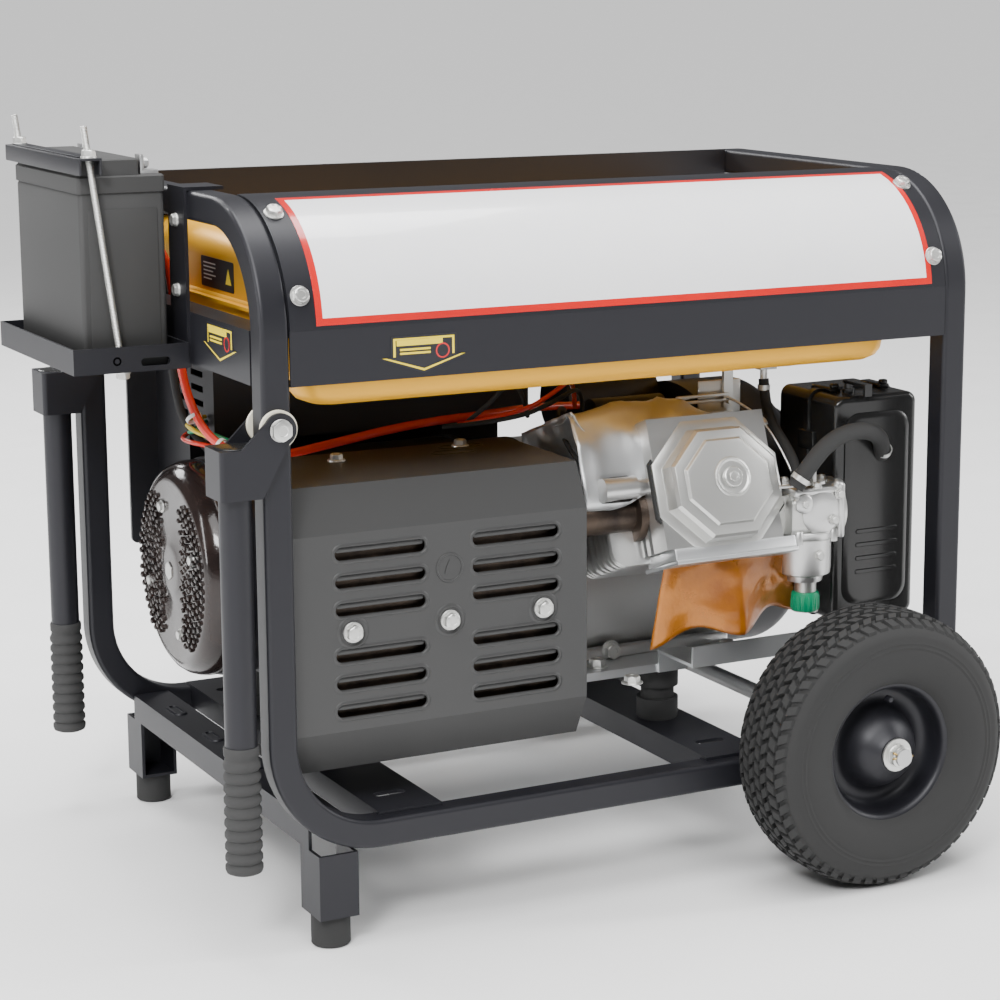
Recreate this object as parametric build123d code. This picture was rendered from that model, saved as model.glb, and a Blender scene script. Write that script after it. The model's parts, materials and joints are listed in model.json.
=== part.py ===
from build123d import *
import math
import os

os.makedirs("parts", exist_ok=True)

# Portable open-frame petrol welding set. Millimetres, +Z up, ground at Z = 0.
# +X runs from the battery end to the engine end, -Y is the muffler side, +Y the control panel side.
# Functions place their pieces from the middle of the frame; save() moves them to the row's origin.

# ---- frame
FRAME_L = 700.0
FRAME_W = 500.0
TUBE = 25.0
TUBE_WALL = 1.6
TUBE_CORNER = 4.0
RAIL_BOTTOM = 85.0
FRAME_TOP = 636.0
TOP_BEND = 108.0
LOW_BEND = 100.0
SHEET = 2.0
PANEL_SHEET = 1.6
SIDE_RAIL_LOW = 488.0
SIDE_RAIL_H = 45.0
PANEL_LIP = 26.0
PANEL_GAP = 0.5
RAIL_END_GAP = 0.3

# ---- wheels and feet
WHEEL_OD = 255.0
WHEEL_W = 84.0
RIM_R = 62.0
HUB_HALF = 38.0
AXLE_R = 8.0
AXLE_X = 210.0
WHEEL_GAP = 20.0
RUNNING = 0.05
FOOT_R = 17.0
FOOT_H = 28.0
FOOT_CROSS_X = 60.0
FOOT_CROSS_W = 36.0

# ---- folding handles
HANDLE_R = 13.5
GRIP_R = 16.0
GRIP_L = 110.0
HANDLE_PIVOT_Z = 455.0
HANDLE_OFFSET = 33.5
HANDLE_DROP = 375.0
COLLAR_TOP = 14.0
COLLAR_L = 41.0
CHEEK = 3.0
BUSH = 4.0
PIVOT_R = 5.0

# ---- fuel tank
TANK_END_GAP = 50.0
TANK_SIDE_GAP = 50.0
TANK_BOTTOM = 474.0
TANK_TOP = 592.0
TANK_WALL = 1.5
FLANGE_W = 20.0
NECK_R = 26.0
NECK_H = 12.0
CAP_R = 32.0

# ---- power unit
CRANK_Y = 35.0
CRANK_Z = 279.0
ENGINE_X = 110.0
CASE_HALF = 90.0
CASE_FRONT = 110.0
CASE_BACK = 90.0
CASE_DROP = 106.0
CASE_RISE = 81.0
CASE_WALL = 8.0
SHAFT_R = 16.0
BEARING_R = 32.0
TILT = 20.0
BORE_R = 44.0
HEAD_LOW = 190.0
HEAD_TOP = 248.0
HEAD_HALF = 62.0
COVER_H = 28.0
BLOWER_R = 135.0
BLOWER_L = 88.0
RECOIL_R = 105.0
RECOIL_L = 30.0
ALT_R = 100.0
ALT_WALL = 5.0
ALT_END_GAP = 15.0
ALT_COVER_L = 35.0
STATOR_BORE = 61.0
ROTOR_R = 60.0
BELL_L = 60.0
MOUNT_R = 20.0
BASE_PLATE = 8.0

# ---- muffler guard
GUARD_INSET = 15.0
GUARD_BACK = -80.0
GUARD_LOW = 150.0
GUARD_TOP = 397.0
GUARD_BEVEL = 20.0
GUARD_BEVEL_H = 38.0
SLOT_L = 84.0
SLOT_H = 12.0
SLOT_PITCH = 24.0

# ---- battery
BATTERY_X = 77.0
BATTERY_Y = 181.0
BATTERY_CASE_H = 163.0
BATTERY_LID_H = 14.0
BATTERY_MID_Y = 15.5
TRAY_REACH = 105.0
TRAY_Z = 485.0
TRAY_LIP = 22.0
TRAY_END = 14.0
HANGER = 3.0
ROD_R = 3.0

# ---- control panel
PANEL_LEFT = -300.0
PANEL_RIGHT = 100.0
PANEL_LOW = 262.0
PANEL_HIGH = 484.0
PANEL_Y = 236.0
PANEL_T = 4.0
TERMINAL_R = 20.0
TERMINAL_BORE = 6.5

# ---- worked out
FRAME_X = TRAY_REACH / 2
HALF_L = FRAME_L / 2
HALF_W = FRAME_W / 2
RAIL_TOP = RAIL_BOTTOM + TUBE
RAIL_Y = HALF_W - TUBE / 2
POST_X = HALF_L - TUBE / 2
IN_X = HALF_L - TUBE
IN_Y = HALF_W - TUBE
BEND_Z = RAIL_BOTTOM + LOW_BEND
SIDE_RAIL_TOP = SIDE_RAIL_LOW + SIDE_RAIL_H
TANK_X = HALF_L - TANK_END_GAP
TANK_Y = HALF_W - TANK_SIDE_GAP
AXLE_Z = WHEEL_OD / 2
WHEEL_Y = HALF_W + WHEEL_GAP + WHEEL_W / 2
HANDLE_X = -POST_X - HANDLE_OFFSET
HANDLE_TOP = HANDLE_PIVOT_Z - COLLAR_TOP
CHEEK_OUT = HALF_W + BUSH + CHEEK
CHEEK_IN = IN_Y - BUSH - CHEEK
BASE_Z = CRANK_Z - CASE_DROP
CASE_LEFT = ENGINE_X - CASE_HALF
CASE_RIGHT = ENGINE_X + CASE_HALF
ALT_END = -HALF_L + ALT_END_GAP
BARREL_LEFT = ALT_END + ALT_COVER_L
BARREL_RIGHT = CASE_LEFT - BELL_L
GUARD_Y = -HALF_W + GUARD_INSET
GUARD_LEFT = -IN_X + 3.0
GUARD_RIGHT = ENGINE_X - 154.0
TRAY_LEFT = -HALF_L - TRAY_REACH
TRAY_RIGHT = -HALF_L - HANGER
BATTERY_LEFT = TRAY_LEFT + TRAY_END
BATTERY_NEAR = BATTERY_MID_Y - BATTERY_Y / 2
BATTERY_FAR = BATTERY_MID_Y + BATTERY_Y / 2
BATTERY_LOW = TRAY_Z + SHEET
CASE_TOP = BATTERY_LOW + BATTERY_CASE_H
LID_TOP = CASE_TOP + BATTERY_LID_H
ROD_NEAR = BATTERY_NEAR - 8.0
ROD_FAR = BATTERY_FAR + 8.0
ENGINE_CROSS_X = ENGINE_X
ALT_CROSS_X = -HALF_L + 132.0
CROSS_W = 60.0
CROSS_T = 3.0
CROSS_TOP = RAIL_TOP + CROSS_T
AIR_X = ENGINE_X + 130.0
AIR_W = 93.0
AIR_NEAR = -200.0
AIR_FAR = -105.0
AIR_LOW = 212.0
AIR_HIGH = 428.0
CARB_X = ENGINE_X + 99.0
CARB_Y = -197.0
RECOIL_X = CASE_RIGHT + BLOWER_L
PETCOCK_X = ENGINE_X + 100.0


def block(x0, x1, y0, y1, z0, z1):
    return Pos((x0 + x1) / 2, (y0 + y1) / 2, (z0 + z1) / 2) * Box(x1 - x0, y1 - y0, z1 - z0)


def rod_x(r, x0, x1, y, z):
    return Pos((x0 + x1) / 2, y, z) * Rot(0, 90, 0) * Cylinder(r, x1 - x0)


def rod_y(r, y0, y1, x, z):
    return Pos(x, (y0 + y1) / 2, z) * Rot(90, 0, 0) * Cylinder(r, y1 - y0)


def rod_z(r, z0, z1, x, y):
    return Pos(x, y, (z0 + z1) / 2) * Cylinder(r, z1 - z0)


def hex_z(across, height):
    return extrude(RegularPolygon(across / 2, 6, major_radius=False), height)


def group(pieces):
    return Compound([solid for piece in pieces for solid in piece.solids()])


def far_side(shape):
    return mirror(shape, about=Plane.XZ)


def cylinder_frame(x, up, out):
    """Place in the tilted frame of the cylinder: x along the crank, up across it, out along the bore."""
    return Pos(ENGINE_X, CRANK_Y, CRANK_Z) * Rot(90 - TILT, 0, 0) * Pos(x, up, out)


def save(name, shape):
    export_step(Pos(FRAME_X, 0, 0) * shape, f"parts/{name}.step")


# ---- frame

def tube_face(plane):
    outer = RectangleRounded(TUBE, TUBE, TUBE_CORNER)
    bore = TUBE - 2 * TUBE_WALL
    inner = RectangleRounded(bore, bore, TUBE_CORNER - TUBE_WALL)
    return plane * (outer - inner)


def tube_run(start, end):
    way = Vector(*end) - Vector(*start)
    across = (0, 1, 0) if abs(way.Y) < 1e-6 else (1, 0, 0)
    plane = Plane(origin=start, x_dir=across, z_dir=way.normalized())
    return extrude(tube_face(plane), way.length)


def tube_bend(start, way, across, centre, axis):
    plane = Plane(origin=start, x_dir=across, z_dir=way)
    return revolve(tube_face(plane), Axis(centre, axis), 90)


def end_hoop(x):
    y_in = HALF_W - TOP_BEND
    z_in = FRAME_TOP - TOP_BEND
    top_z = FRAME_TOP - TUBE / 2
    near = tube_run((x, -RAIL_Y, BEND_Z), (x, -RAIL_Y, z_in))
    near_bend = tube_bend((x, -RAIL_Y, z_in), (0, 0, 1), (1, 0, 0), (x, -y_in, z_in), (-1, 0, 0))
    top = tube_run((x, -y_in, top_z), (x, y_in, top_z))
    return near + near_bend + top + far_side(near) + far_side(near_bend)


def lower_rail():
    x_in = HALF_L - LOW_BEND
    z = RAIL_BOTTOM + TUBE / 2
    run = tube_run((-x_in, -RAIL_Y, z), (x_in, -RAIL_Y, z))
    left = tube_bend((-POST_X, -RAIL_Y, BEND_Z), (0, 0, -1), (1, 0, 0), (-x_in, -RAIL_Y, BEND_Z), (0, -1, 0))
    right = tube_bend((POST_X, -RAIL_Y, BEND_Z), (0, 0, -1), (1, 0, 0), (x_in, -RAIL_Y, BEND_Z), (0, 1, 0))
    return run + left + right


def crossmember(x, width):
    plate = block(x - width / 2, x + width / 2, -RAIL_Y, RAIL_Y, RAIL_TOP, CROSS_TOP)
    skirt = TUBE - 5.0
    left = block(x - width / 2, x - width / 2 + CROSS_T, -IN_Y, IN_Y, RAIL_TOP - skirt, RAIL_TOP)
    right = block(x + width / 2 - CROSS_T, x + width / 2, -IN_Y, IN_Y, RAIL_TOP - skirt, RAIL_TOP)
    slots = [Pos(x, y, RAIL_TOP + CROSS_T / 2) * extrude(SlotOverall(30, 11), 2 * CROSS_T, both=True)
             for y in (-RAIL_Y + 45, RAIL_Y - 45)]
    return plate + left + right - slots[0] - slots[1]


def foot_crossmember():
    x = -HALF_L + FOOT_CROSS_X
    x0 = x - FOOT_CROSS_W / 2
    x1 = x + FOOT_CROSS_W / 2
    outer = block(x0, x1, -IN_Y, IN_Y, RAIL_BOTTOM, RAIL_TOP)
    inner = block(x0 + CROSS_T, x1 - CROSS_T, -IN_Y, IN_Y, RAIL_BOTTOM - 1, RAIL_TOP - CROSS_T)
    return outer - inner


def leg_brackets():
    x = -HALF_L + FOOT_CROSS_X
    half = FOOT_CROSS_W / 2
    y0 = -HALF_W + 2
    y1 = y0 + 2 * FOOT_R + 8
    outer = block(x - half, x + half, y0, y1, FOOT_H, RAIL_BOTTOM)
    hollow = block(x - half + CROSS_T, x + half - CROSS_T, y0 + CROSS_T, y1 + 1, FOOT_H + CROSS_T, RAIL_BOTTOM + 1)
    leg = outer - hollow
    return group([leg, far_side(leg)])


def rubber_feet():
    y = -HALF_W + 6 + FOOT_R
    foot = rod_z(FOOT_R, 0, FOOT_H, -HALF_L + FOOT_CROSS_X, y)
    foot = chamfer(foot.edges().filter_by(GeomType.CIRCLE), 1.5)
    return group([foot, far_side(foot)])


def side_rail():
    outer = block(-IN_X, IN_X, -HALF_W, -IN_Y, SIDE_RAIL_LOW, SIDE_RAIL_TOP)
    inner = block(-IN_X - 1, IN_X + 1, -HALF_W + SHEET, -IN_Y + 1, SIDE_RAIL_LOW + SHEET, SIDE_RAIL_TOP - SHEET)
    ledge_z = SIDE_RAIL_TOP - SHEET
    ledge = block(-IN_X, IN_X, -IN_Y, -TANK_Y - 4, ledge_z, SIDE_RAIL_TOP)
    return outer - inner + ledge


def end_rails():
    half = IN_Y - RAIL_END_GAP
    outer = block(-HALF_L, -IN_X, -half, half, SIDE_RAIL_LOW, SIDE_RAIL_TOP)
    inner = block(-HALF_L + SHEET, -IN_X + 1, -IN_Y, IN_Y, SIDE_RAIL_LOW + SHEET, SIDE_RAIL_TOP - SHEET)
    rail = outer - inner
    return group([rail, mirror(rail, about=Plane.YZ)])


def top_panel():
    r = TOP_BEND
    centre_y = -HALF_W + r
    centre_z = FRAME_TOP - r
    ring = Circle(r) - Circle(r - PANEL_SHEET)
    quarter = ring & (Pos(-r, r) * Rectangle(2 * r, 2 * r))
    low = SIDE_RAIL_TOP - centre_z
    quarter = quarter & (Pos(-r, low + r) * Rectangle(2 * r, 2 * r))
    flat = Pos(PANEL_SHEET / 2 + 0.5, r - PANEL_SHEET / 2) * Rectangle(PANEL_SHEET + 1, PANEL_SHEET)
    lip = Pos(1 + PANEL_SHEET / 2, r - PANEL_LIP / 2) * Rectangle(PANEL_SHEET, PANEL_LIP)
    face = Plane((-IN_X + PANEL_GAP, centre_y, centre_z), x_dir=(0, 1, 0), z_dir=(1, 0, 0)) * (quarter + flat + lip)
    return extrude(face, FRAME_L - 2 * TUBE - 2 * PANEL_GAP)


def panel_bolts():
    centre_y = -HALF_W + TOP_BEND
    centre_z = FRAME_TOP - TOP_BEND
    bolts = []
    for side in (-1, 1):
        for angle in (18, 62):
            head = hex_z(13, 6) + Cylinder(8, 1.5, align=(Align.CENTER, Align.CENTER, Align.MIN))
            x = side * (IN_X - 11)
            bolts.append(Pos(x, centre_y, centre_z) * Rot(90 - angle, 0, 0) * Pos(0, 0, TOP_BEND) * head)
    return group(bolts + [far_side(b) for b in bolts])


# ---- wheels

def tyre_at(y):
    half = WHEEL_W / 2
    r = WHEEL_OD / 2
    side = [(RIM_R, half - 14), (RIM_R + 10, half - 4), (r - 32, half), (r - 12, half - 4), (r - 3, half - 14), (r, 24)]
    outline = [Vector(v, y + w) for v, w in side] + [Vector(v, y - w) for v, w in reversed(side)]
    outer = make_face(Polyline(*outline, close=True))
    inside = [(RIM_R - 1, half - 24), (RIM_R + 12, half - 14), (r - 32, half - 8), (r - 14, half - 14), (r - 12, 18)]
    hole = [Vector(v, y + w) for v, w in inside] + [Vector(v, y - w) for v, w in reversed(inside)]
    inner = make_face(Polyline(*hole, close=True))
    ring = revolve(outer - inner, Axis.Y)
    return Pos(AXLE_X, 0, AXLE_Z) * ring


def rim_at(y):
    half = WHEEL_W / 2 - 14
    bore = AXLE_R + RUNNING
    barrel = Pos(RIM_R - 2.5, y) * Rectangle(5, 2 * half)
    hub = Pos((bore + 17) / 2, y) * Rectangle(17 - bore, 2 * HUB_HALF)
    web = Pos((16 + RIM_R - 4) / 2, y) * Rectangle(RIM_R - 4 - 16, 6)
    cone = make_face(Polyline((16, y + 3), (40, y + 3), (24, y + 26), (16, y + 30), close=True))
    cone_back = make_face(Polyline((16, y - 3), (40, y - 3), (24, y - 26), (16, y - 30), close=True))
    return Pos(AXLE_X, 0, AXLE_Z) * revolve(barrel + hub + web + cone + cone_back, Axis.Y)


def axle():
    inner = WHEEL_Y - HUB_HALF - 0.5
    tip = WHEEL_Y + HUB_HALF + 14
    shaft = rod_y(AXLE_R, -tip, tip, AXLE_X, AXLE_Z)
    collar = rod_y(12, -inner, -HALF_W + 2, AXLE_X, AXLE_Z)
    return shaft + collar + far_side(collar)


def axle_nuts():
    start = WHEEL_Y + HUB_HALF + 0.5
    washer = Cylinder(15, 2.5, align=(Align.CENTER, Align.CENTER, Align.MIN))
    nut = Pos(0, 0, 2.5) * hex_z(22, 8)
    stack = washer + nut - Cylinder(AXLE_R, 40)
    near = Pos(AXLE_X, -start, AXLE_Z) * Rot(90, 0, 0) * stack
    return group([near, far_side(near)])


def axle_brackets():
    z1 = AXLE_Z + AXLE_R + 7
    near = block(AXLE_X - 20, AXLE_X + 20, -HALF_W + 2, -HALF_W + 8, RAIL_TOP, z1)
    inner = block(AXLE_X - 20, AXLE_X + 20, -IN_Y - 8, -IN_Y - 2, RAIL_TOP, z1)
    foot = block(AXLE_X - 20, AXLE_X + 20, -HALF_W + 8, -IN_Y - 8, RAIL_TOP, RAIL_TOP + 3)
    saddle = near + inner + foot - rod_y(AXLE_R, -HALF_W, -IN_Y + 5, AXLE_X, AXLE_Z)
    saddle = saddle - rod_y(12, -HALF_W, -HALF_W + 2, AXLE_X, AXLE_Z)
    return group([saddle, far_side(saddle)])


# ---- folding handles

def handle_bar():
    tube = rod_z(HANDLE_R, HANDLE_PIVOT_Z - HANDLE_DROP + 4, HANDLE_TOP, HANDLE_X, -RAIL_Y)
    collar = block(HANDLE_X - HANDLE_R - 5, HANDLE_X + HANDLE_R + 4.5, -CHEEK_OUT, -CHEEK_IN,
                   HANDLE_TOP - COLLAR_L, HANDLE_TOP)
    collar = fillet(collar.edges().filter_by(Axis.Z), 4)
    bar = tube + collar
    for y0, y1 in ((-CHEEK_OUT, -CHEEK_OUT + CHEEK), (-CHEEK_IN - CHEEK, -CHEEK_IN)):
        eye = rod_y(14, y0, y1, -POST_X, HANDLE_PIVOT_Z)
        z_low = HANDLE_TOP - COLLAR_L
        web = Plane((0, y1, 0), x_dir=(1, 0, 0), z_dir=(0, -1, 0)) * make_face(Polyline(
            (HANDLE_X, z_low), (HANDLE_X + HANDLE_R + 4, z_low), (-POST_X + 14, HANDLE_PIVOT_Z),
            (-POST_X - 8, HANDLE_PIVOT_Z + 11), (HANDLE_X, HANDLE_TOP), close=True))
        bar = bar + eye + extrude(web, y1 - y0)
    return bar - rod_y(PIVOT_R + RUNNING, -CHEEK_OUT - 1, -CHEEK_IN + 1, -POST_X, HANDLE_PIVOT_Z)


def handle_grip():
    low = HANDLE_PIVOT_Z - HANDLE_DROP
    grip = rod_z(GRIP_R - 2, low, low + GRIP_L, HANDLE_X, -RAIL_Y)
    for i in range(9):
        z = low + 8 + i * 11.5
        grip = grip + rod_z(GRIP_R, z - 3.5, z + 3.5, HANDLE_X, -RAIL_Y)
    return grip - rod_z(HANDLE_R, low + 4, low + GRIP_L + 1, HANDLE_X, -RAIL_Y)


def handle_pivots():
    head = 6.0
    shank = rod_y(PIVOT_R, -CHEEK_OUT - 0.5, -CHEEK_IN + 1, -POST_X, HANDLE_PIVOT_Z)
    outer = Pos(-POST_X, -CHEEK_OUT - 0.5, HANDLE_PIVOT_Z) * Rot(90, 0, 0) * hex_z(17, head)
    inner = rod_y(9, -CHEEK_IN + 0.5, -CHEEK_IN + head, -POST_X, HANDLE_PIVOT_Z)
    near = shank + outer + inner
    return group([near, far_side(near)])


def handle_bushes():
    near = []
    for y0, y1 in ((-HALF_W - BUSH + 0.3, -HALF_W), (-IN_Y, -IN_Y + BUSH - 0.3)):
        near.append(rod_y(16, y0, y1, -POST_X, HANDLE_PIVOT_Z) - rod_y(PIVOT_R, y0 - 1, y1 + 1, -POST_X, HANDLE_PIVOT_Z))
    return group(near + [far_side(b) for b in near])


def pivot_hole(shape):
    """Bore both posts of the battery end hoop for the handle pivots."""
    return shape - rod_y(PIVOT_R, -HALF_W - 5, HALF_W + 5, -POST_X, HANDLE_PIVOT_Z)


# ---- tank

def fuel_tank():
    body = block(-TANK_X, TANK_X, -TANK_Y, TANK_Y, TANK_BOTTOM, TANK_TOP)
    body = fillet(body.edges().filter_by(Axis.Z), 45)
    body = fillet(body.faces().sort_by(Axis.Z)[-1].edges(), 22)
    body = fillet(body.faces().sort_by(Axis.Z)[0].edges(), 16)
    flange = block(-TANK_X - 8, TANK_X + 8, -TANK_Y - FLANGE_W, TANK_Y + FLANGE_W, SIDE_RAIL_TOP, SIDE_RAIL_TOP + 3)
    flange = fillet(flange.edges().filter_by(Axis.Z), 30)
    w = TANK_WALL
    hollow = block(-TANK_X + w, TANK_X - w, -TANK_Y + w, TANK_Y - w, TANK_BOTTOM + w, TANK_TOP - w)
    hollow = fillet(hollow.edges().filter_by(Axis.Z), 44)
    hollow = fillet(hollow.faces().sort_by(Axis.Z)[-1].edges(), 21)
    hollow = fillet(hollow.faces().sort_by(Axis.Z)[0].edges(), 15)
    neck = rod_z(NECK_R, TANK_TOP - w, TANK_TOP + NECK_H, 0, 0)
    return body + flange + neck - hollow - rod_z(NECK_R - 3, TANK_TOP - 10, TANK_TOP + NECK_H + 1, 0, 0)


def fuel_cap():
    z0 = TANK_TOP + 1
    z1 = TANK_TOP + NECK_H + 15
    cap = fillet(rod_z(CAP_R, z0, z1, 0, 0).edges().sort_by(Axis.Z)[-1:], 4)
    for i in range(12):
        a = i * 30
        cap = cap - Rot(0, 0, a) * rod_z(4, z0 - 1, z1 + 1, CAP_R + 2, 0)
    return cap - rod_z(NECK_R + 0.3, z0 - 1, TANK_TOP + NECK_H + 0.3, 0, 0)


def fuel_gauge():
    x = 120.0
    return rod_z(18, TANK_TOP, TANK_TOP + 8, x, 0) - rod_z(14, TANK_TOP + 6, TANK_TOP + 9, x, 0)


# ---- power unit

def case_envelope():
    box = block(CASE_LEFT, CASE_RIGHT, CRANK_Y - CASE_FRONT, CRANK_Y + CASE_BACK, BASE_Z, CRANK_Z + CASE_RISE)
    return fillet(box.edges().filter_by(Axis.X), 24)


def bore_cut(low, high):
    return cylinder_frame(0, 0, (low + high) / 2) * Cylinder(BORE_R, high - low)


def crankcase():
    w = CASE_WALL
    room = block(CASE_LEFT + w, CASE_RIGHT - w, CRANK_Y - CASE_FRONT + w, CRANK_Y + CASE_BACK - w,
                 BASE_Z + w, CRANK_Z + CASE_RISE - w)
    case = case_envelope() - fillet(room.edges().filter_by(Axis.X), 18)
    case = case - rod_x(BEARING_R, CASE_LEFT - 1, CASE_RIGHT + 1, CRANK_Y, CRANK_Z)
    return case - bore_cut(60, 190)


def cylinder_block():
    barrel = cylinder_frame(0, 0, (60 + HEAD_LOW) / 2) * Box(108, 108, HEAD_LOW - 60)
    head = cylinder_frame(0, 0, (HEAD_LOW + HEAD_TOP) / 2) * Box(2 * HEAD_HALF, 2 * HEAD_HALF - 4, HEAD_TOP - HEAD_LOW)
    body = barrel + head
    for i in range(9):
        out = 124 + i * 12
        groove = Box(140, 140, 6) - Box(92, 92, 6)
        body = body - cylinder_frame(0, 0, out) * groove
    body = body - case_envelope()
    return body - bore_cut(40, HEAD_LOW)


def piston():
    body = cylinder_frame(0, 0, HEAD_LOW - 34) * Cylinder(BORE_R - RUNNING, 60)
    cup = cylinder_frame(0, 0, HEAD_LOW - 42) * Cylinder(BORE_R - 8, 50)
    pin = cylinder_frame(0, 0, HEAD_LOW - 40) * Rot(0, 90, 0) * Cylinder(9, 2 * BORE_R - 14)
    return body - cup + pin


def valve_cover():
    cover = extrude(RectangleRounded(126, 106, 24), COVER_H)
    cover = fillet(cover.faces().sort_by(Axis.Z)[-1].edges(), 7)
    return cylinder_frame(6, 0, HEAD_TOP) * cover


def crank_bearings():
    rings = []
    for x0 in (CASE_LEFT, CASE_RIGHT - CASE_WALL):
        ring = rod_x(BEARING_R, x0, x0 + CASE_WALL, CRANK_Y, CRANK_Z)
        rings.append(ring - rod_x(SHAFT_R + RUNNING, x0 - 1, x0 + CASE_WALL + 1, CRANK_Y, CRANK_Z))
    return group(rings)


def crankshaft():
    shaft_left = rod_x(SHAFT_R, ALT_END + 8, ENGINE_X - 18, CRANK_Y, CRANK_Z)
    shaft_right = rod_x(SHAFT_R, ENGINE_X + 18, RECOIL_X - 3, CRANK_Y, CRANK_Z)
    web_left = rod_x(44, ENGINE_X - 30, ENGINE_X - 18, CRANK_Y, CRANK_Z)
    web_right = rod_x(44, ENGINE_X + 18, ENGINE_X + 30, CRANK_Y, CRANK_Z)
    pin = rod_x(12, ENGINE_X - 18, ENGINE_X + 18, CRANK_Y, CRANK_Z + 30)
    return shaft_left + shaft_right + web_left + web_right + pin


def flywheel():
    x0 = CASE_RIGHT + 12
    disc = rod_x(105, x0, x0 + 34, CRANK_Y, CRANK_Z)
    hub = rod_x(40, x0 + 34, x0 + 56, CRANK_Y, CRANK_Z)
    wheel = disc + hub
    for i in range(14):
        a = i * 360 / 14
        vane = block(x0 + 33, x0 + 54, -2, 2, 60, 104)
        wheel = wheel + Pos(0, CRANK_Y, CRANK_Z) * Rot(a, 0, 0) * vane
    return wheel - rod_x(SHAFT_R, x0 - 1, x0 + 60, CRANK_Y, CRANK_Z)


def rotor():
    x0 = BARREL_LEFT + 50
    x1 = BARREL_RIGHT - 40
    core = rod_x(ROTOR_R, x0, x1, CRANK_Y, CRANK_Z)
    fan = rod_x(84, x1 + 8, x1 + 20, CRANK_Y, CRANK_Z)
    neck = rod_x(30, x1, x1 + 8, CRANK_Y, CRANK_Z)
    return core + neck + fan - rod_x(SHAFT_R, x0 - 1, x1 + 21, CRANK_Y, CRANK_Z)


def stator():
    x0 = BARREL_LEFT + 52
    x1 = BARREL_RIGHT - 42
    ring = rod_x(ALT_R - ALT_WALL, x0, x1, CRANK_Y, CRANK_Z)
    return ring - rod_x(STATOR_BORE, x0 - 1, x1 + 1, CRANK_Y, CRANK_Z)


def alternator_housing():
    shell = rod_x(ALT_R, BARREL_LEFT, BARREL_RIGHT, CRANK_Y, CRANK_Z)
    shell = shell - rod_x(ALT_R - ALT_WALL, BARREL_LEFT - 1, BARREL_RIGHT + 1, CRANK_Y, CRANK_Z)
    bell = rod_x(ALT_R - 6, BARREL_RIGHT, CASE_LEFT, CRANK_Y, CRANK_Z)
    bell = bell - rod_x(ALT_R - 14, BARREL_RIGHT - 1, CASE_LEFT - 8, CRANK_Y, CRANK_Z)
    bell = bell - rod_x(BEARING_R + 4, CASE_LEFT - 9, CASE_LEFT + 1, CRANK_Y, CRANK_Z)
    for i in range(8):
        slot = block(BARREL_RIGHT + 14, CASE_LEFT - 16, -12, 12, ALT_R - 30, ALT_R + 5)
        bell = bell - Pos(0, CRANK_Y, CRANK_Z) * Rot(i * 45 + 22.5, 0, 0) * slot
    foot = block(ALT_CROSS_X - 22, ALT_CROSS_X + 22, CRANK_Y - 90, CRANK_Y + 90, BASE_Z - BASE_PLATE, BASE_Z + 24)
    foot = foot - rod_x(ALT_R, ALT_CROSS_X - 30, ALT_CROSS_X + 30, CRANK_Y, CRANK_Z)
    return shell + bell + foot


def end_cover():
    cover = rod_x(ALT_R, ALT_END, BARREL_LEFT, CRANK_Y, CRANK_Z)
    cover = fillet(cover.edges().sort_by(Axis.X)[:1], 14)
    cover = cover - rod_x(ALT_R - ALT_WALL, ALT_END + 5, BARREL_LEFT + 1, CRANK_Y, CRANK_Z)
    boss = rod_x(26, ALT_END + 4, BARREL_LEFT - 6, CRANK_Y, CRANK_Z)
    cover = cover + boss - rod_x(SHAFT_R + RUNNING, ALT_END + 7, BARREL_LEFT, CRANK_Y, CRANK_Z)
    for ring, count in ((44, 10), (64, 16)):
        for i in range(count):
            hole = rod_x(5, ALT_END - 1, ALT_END + 6, 0, ring)
            cover = cover - Pos(0, CRANK_Y, CRANK_Z) * Rot(i * 360 / count, 0, 0) * hole
    return cover


def blower_housing():
    x0 = CASE_RIGHT
    x1 = RECOIL_X
    shell = rod_x(BLOWER_R, x0, x1, CRANK_Y, CRANK_Z)
    shell = fillet(shell.edges().sort_by(Axis.X)[-1:], 18)
    shell = shell - rod_x(BLOWER_R - 4, x0 + 4, x1 - 4, CRANK_Y, CRANK_Z)
    shell = shell - rod_x(BEARING_R + 6, x0 - 1, x0 + 5, CRANK_Y, CRANK_Z)
    return shell - rod_x(80, x1 - 5, x1 + 1, CRANK_Y, CRANK_Z)


def recoil_starter():
    x0 = RECOIL_X
    x1 = RECOIL_X + RECOIL_L
    shell = fillet(rod_x(RECOIL_R, x0, x1, CRANK_Y, CRANK_Z).edges().sort_by(Axis.X)[-1:], 8)
    shell = shell - rod_x(RECOIL_R - 4, x0 - 1, x1 - 4, CRANK_Y, CRANK_Z)
    for i in range(10):
        slot = block(x1 - 6, x1 + 1, -5, 5, 50, 88)
        shell = shell - Pos(0, CRANK_Y, CRANK_Z) * Rot(i * 36, 0, 0) * slot
    return shell


def recoil_grip():
    x0 = RECOIL_X + RECOIL_L + 0.3
    y = CRANK_Y - 74
    z = CRANK_Z + 60
    bar = rod_y(9, y - 38, y + 38, x0 + 18, z)
    bar = fillet(bar.edges().filter_by(GeomType.CIRCLE), 4)
    return bar + rod_x(7, x0, x0 + 14, y, z)


def engine_base():
    plate = block(CASE_LEFT - 12, CASE_RIGHT, CRANK_Y - CASE_FRONT - 48, CRANK_Y + CASE_BACK + 8,
                  BASE_Z - BASE_PLATE, BASE_Z)
    return plate


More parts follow.
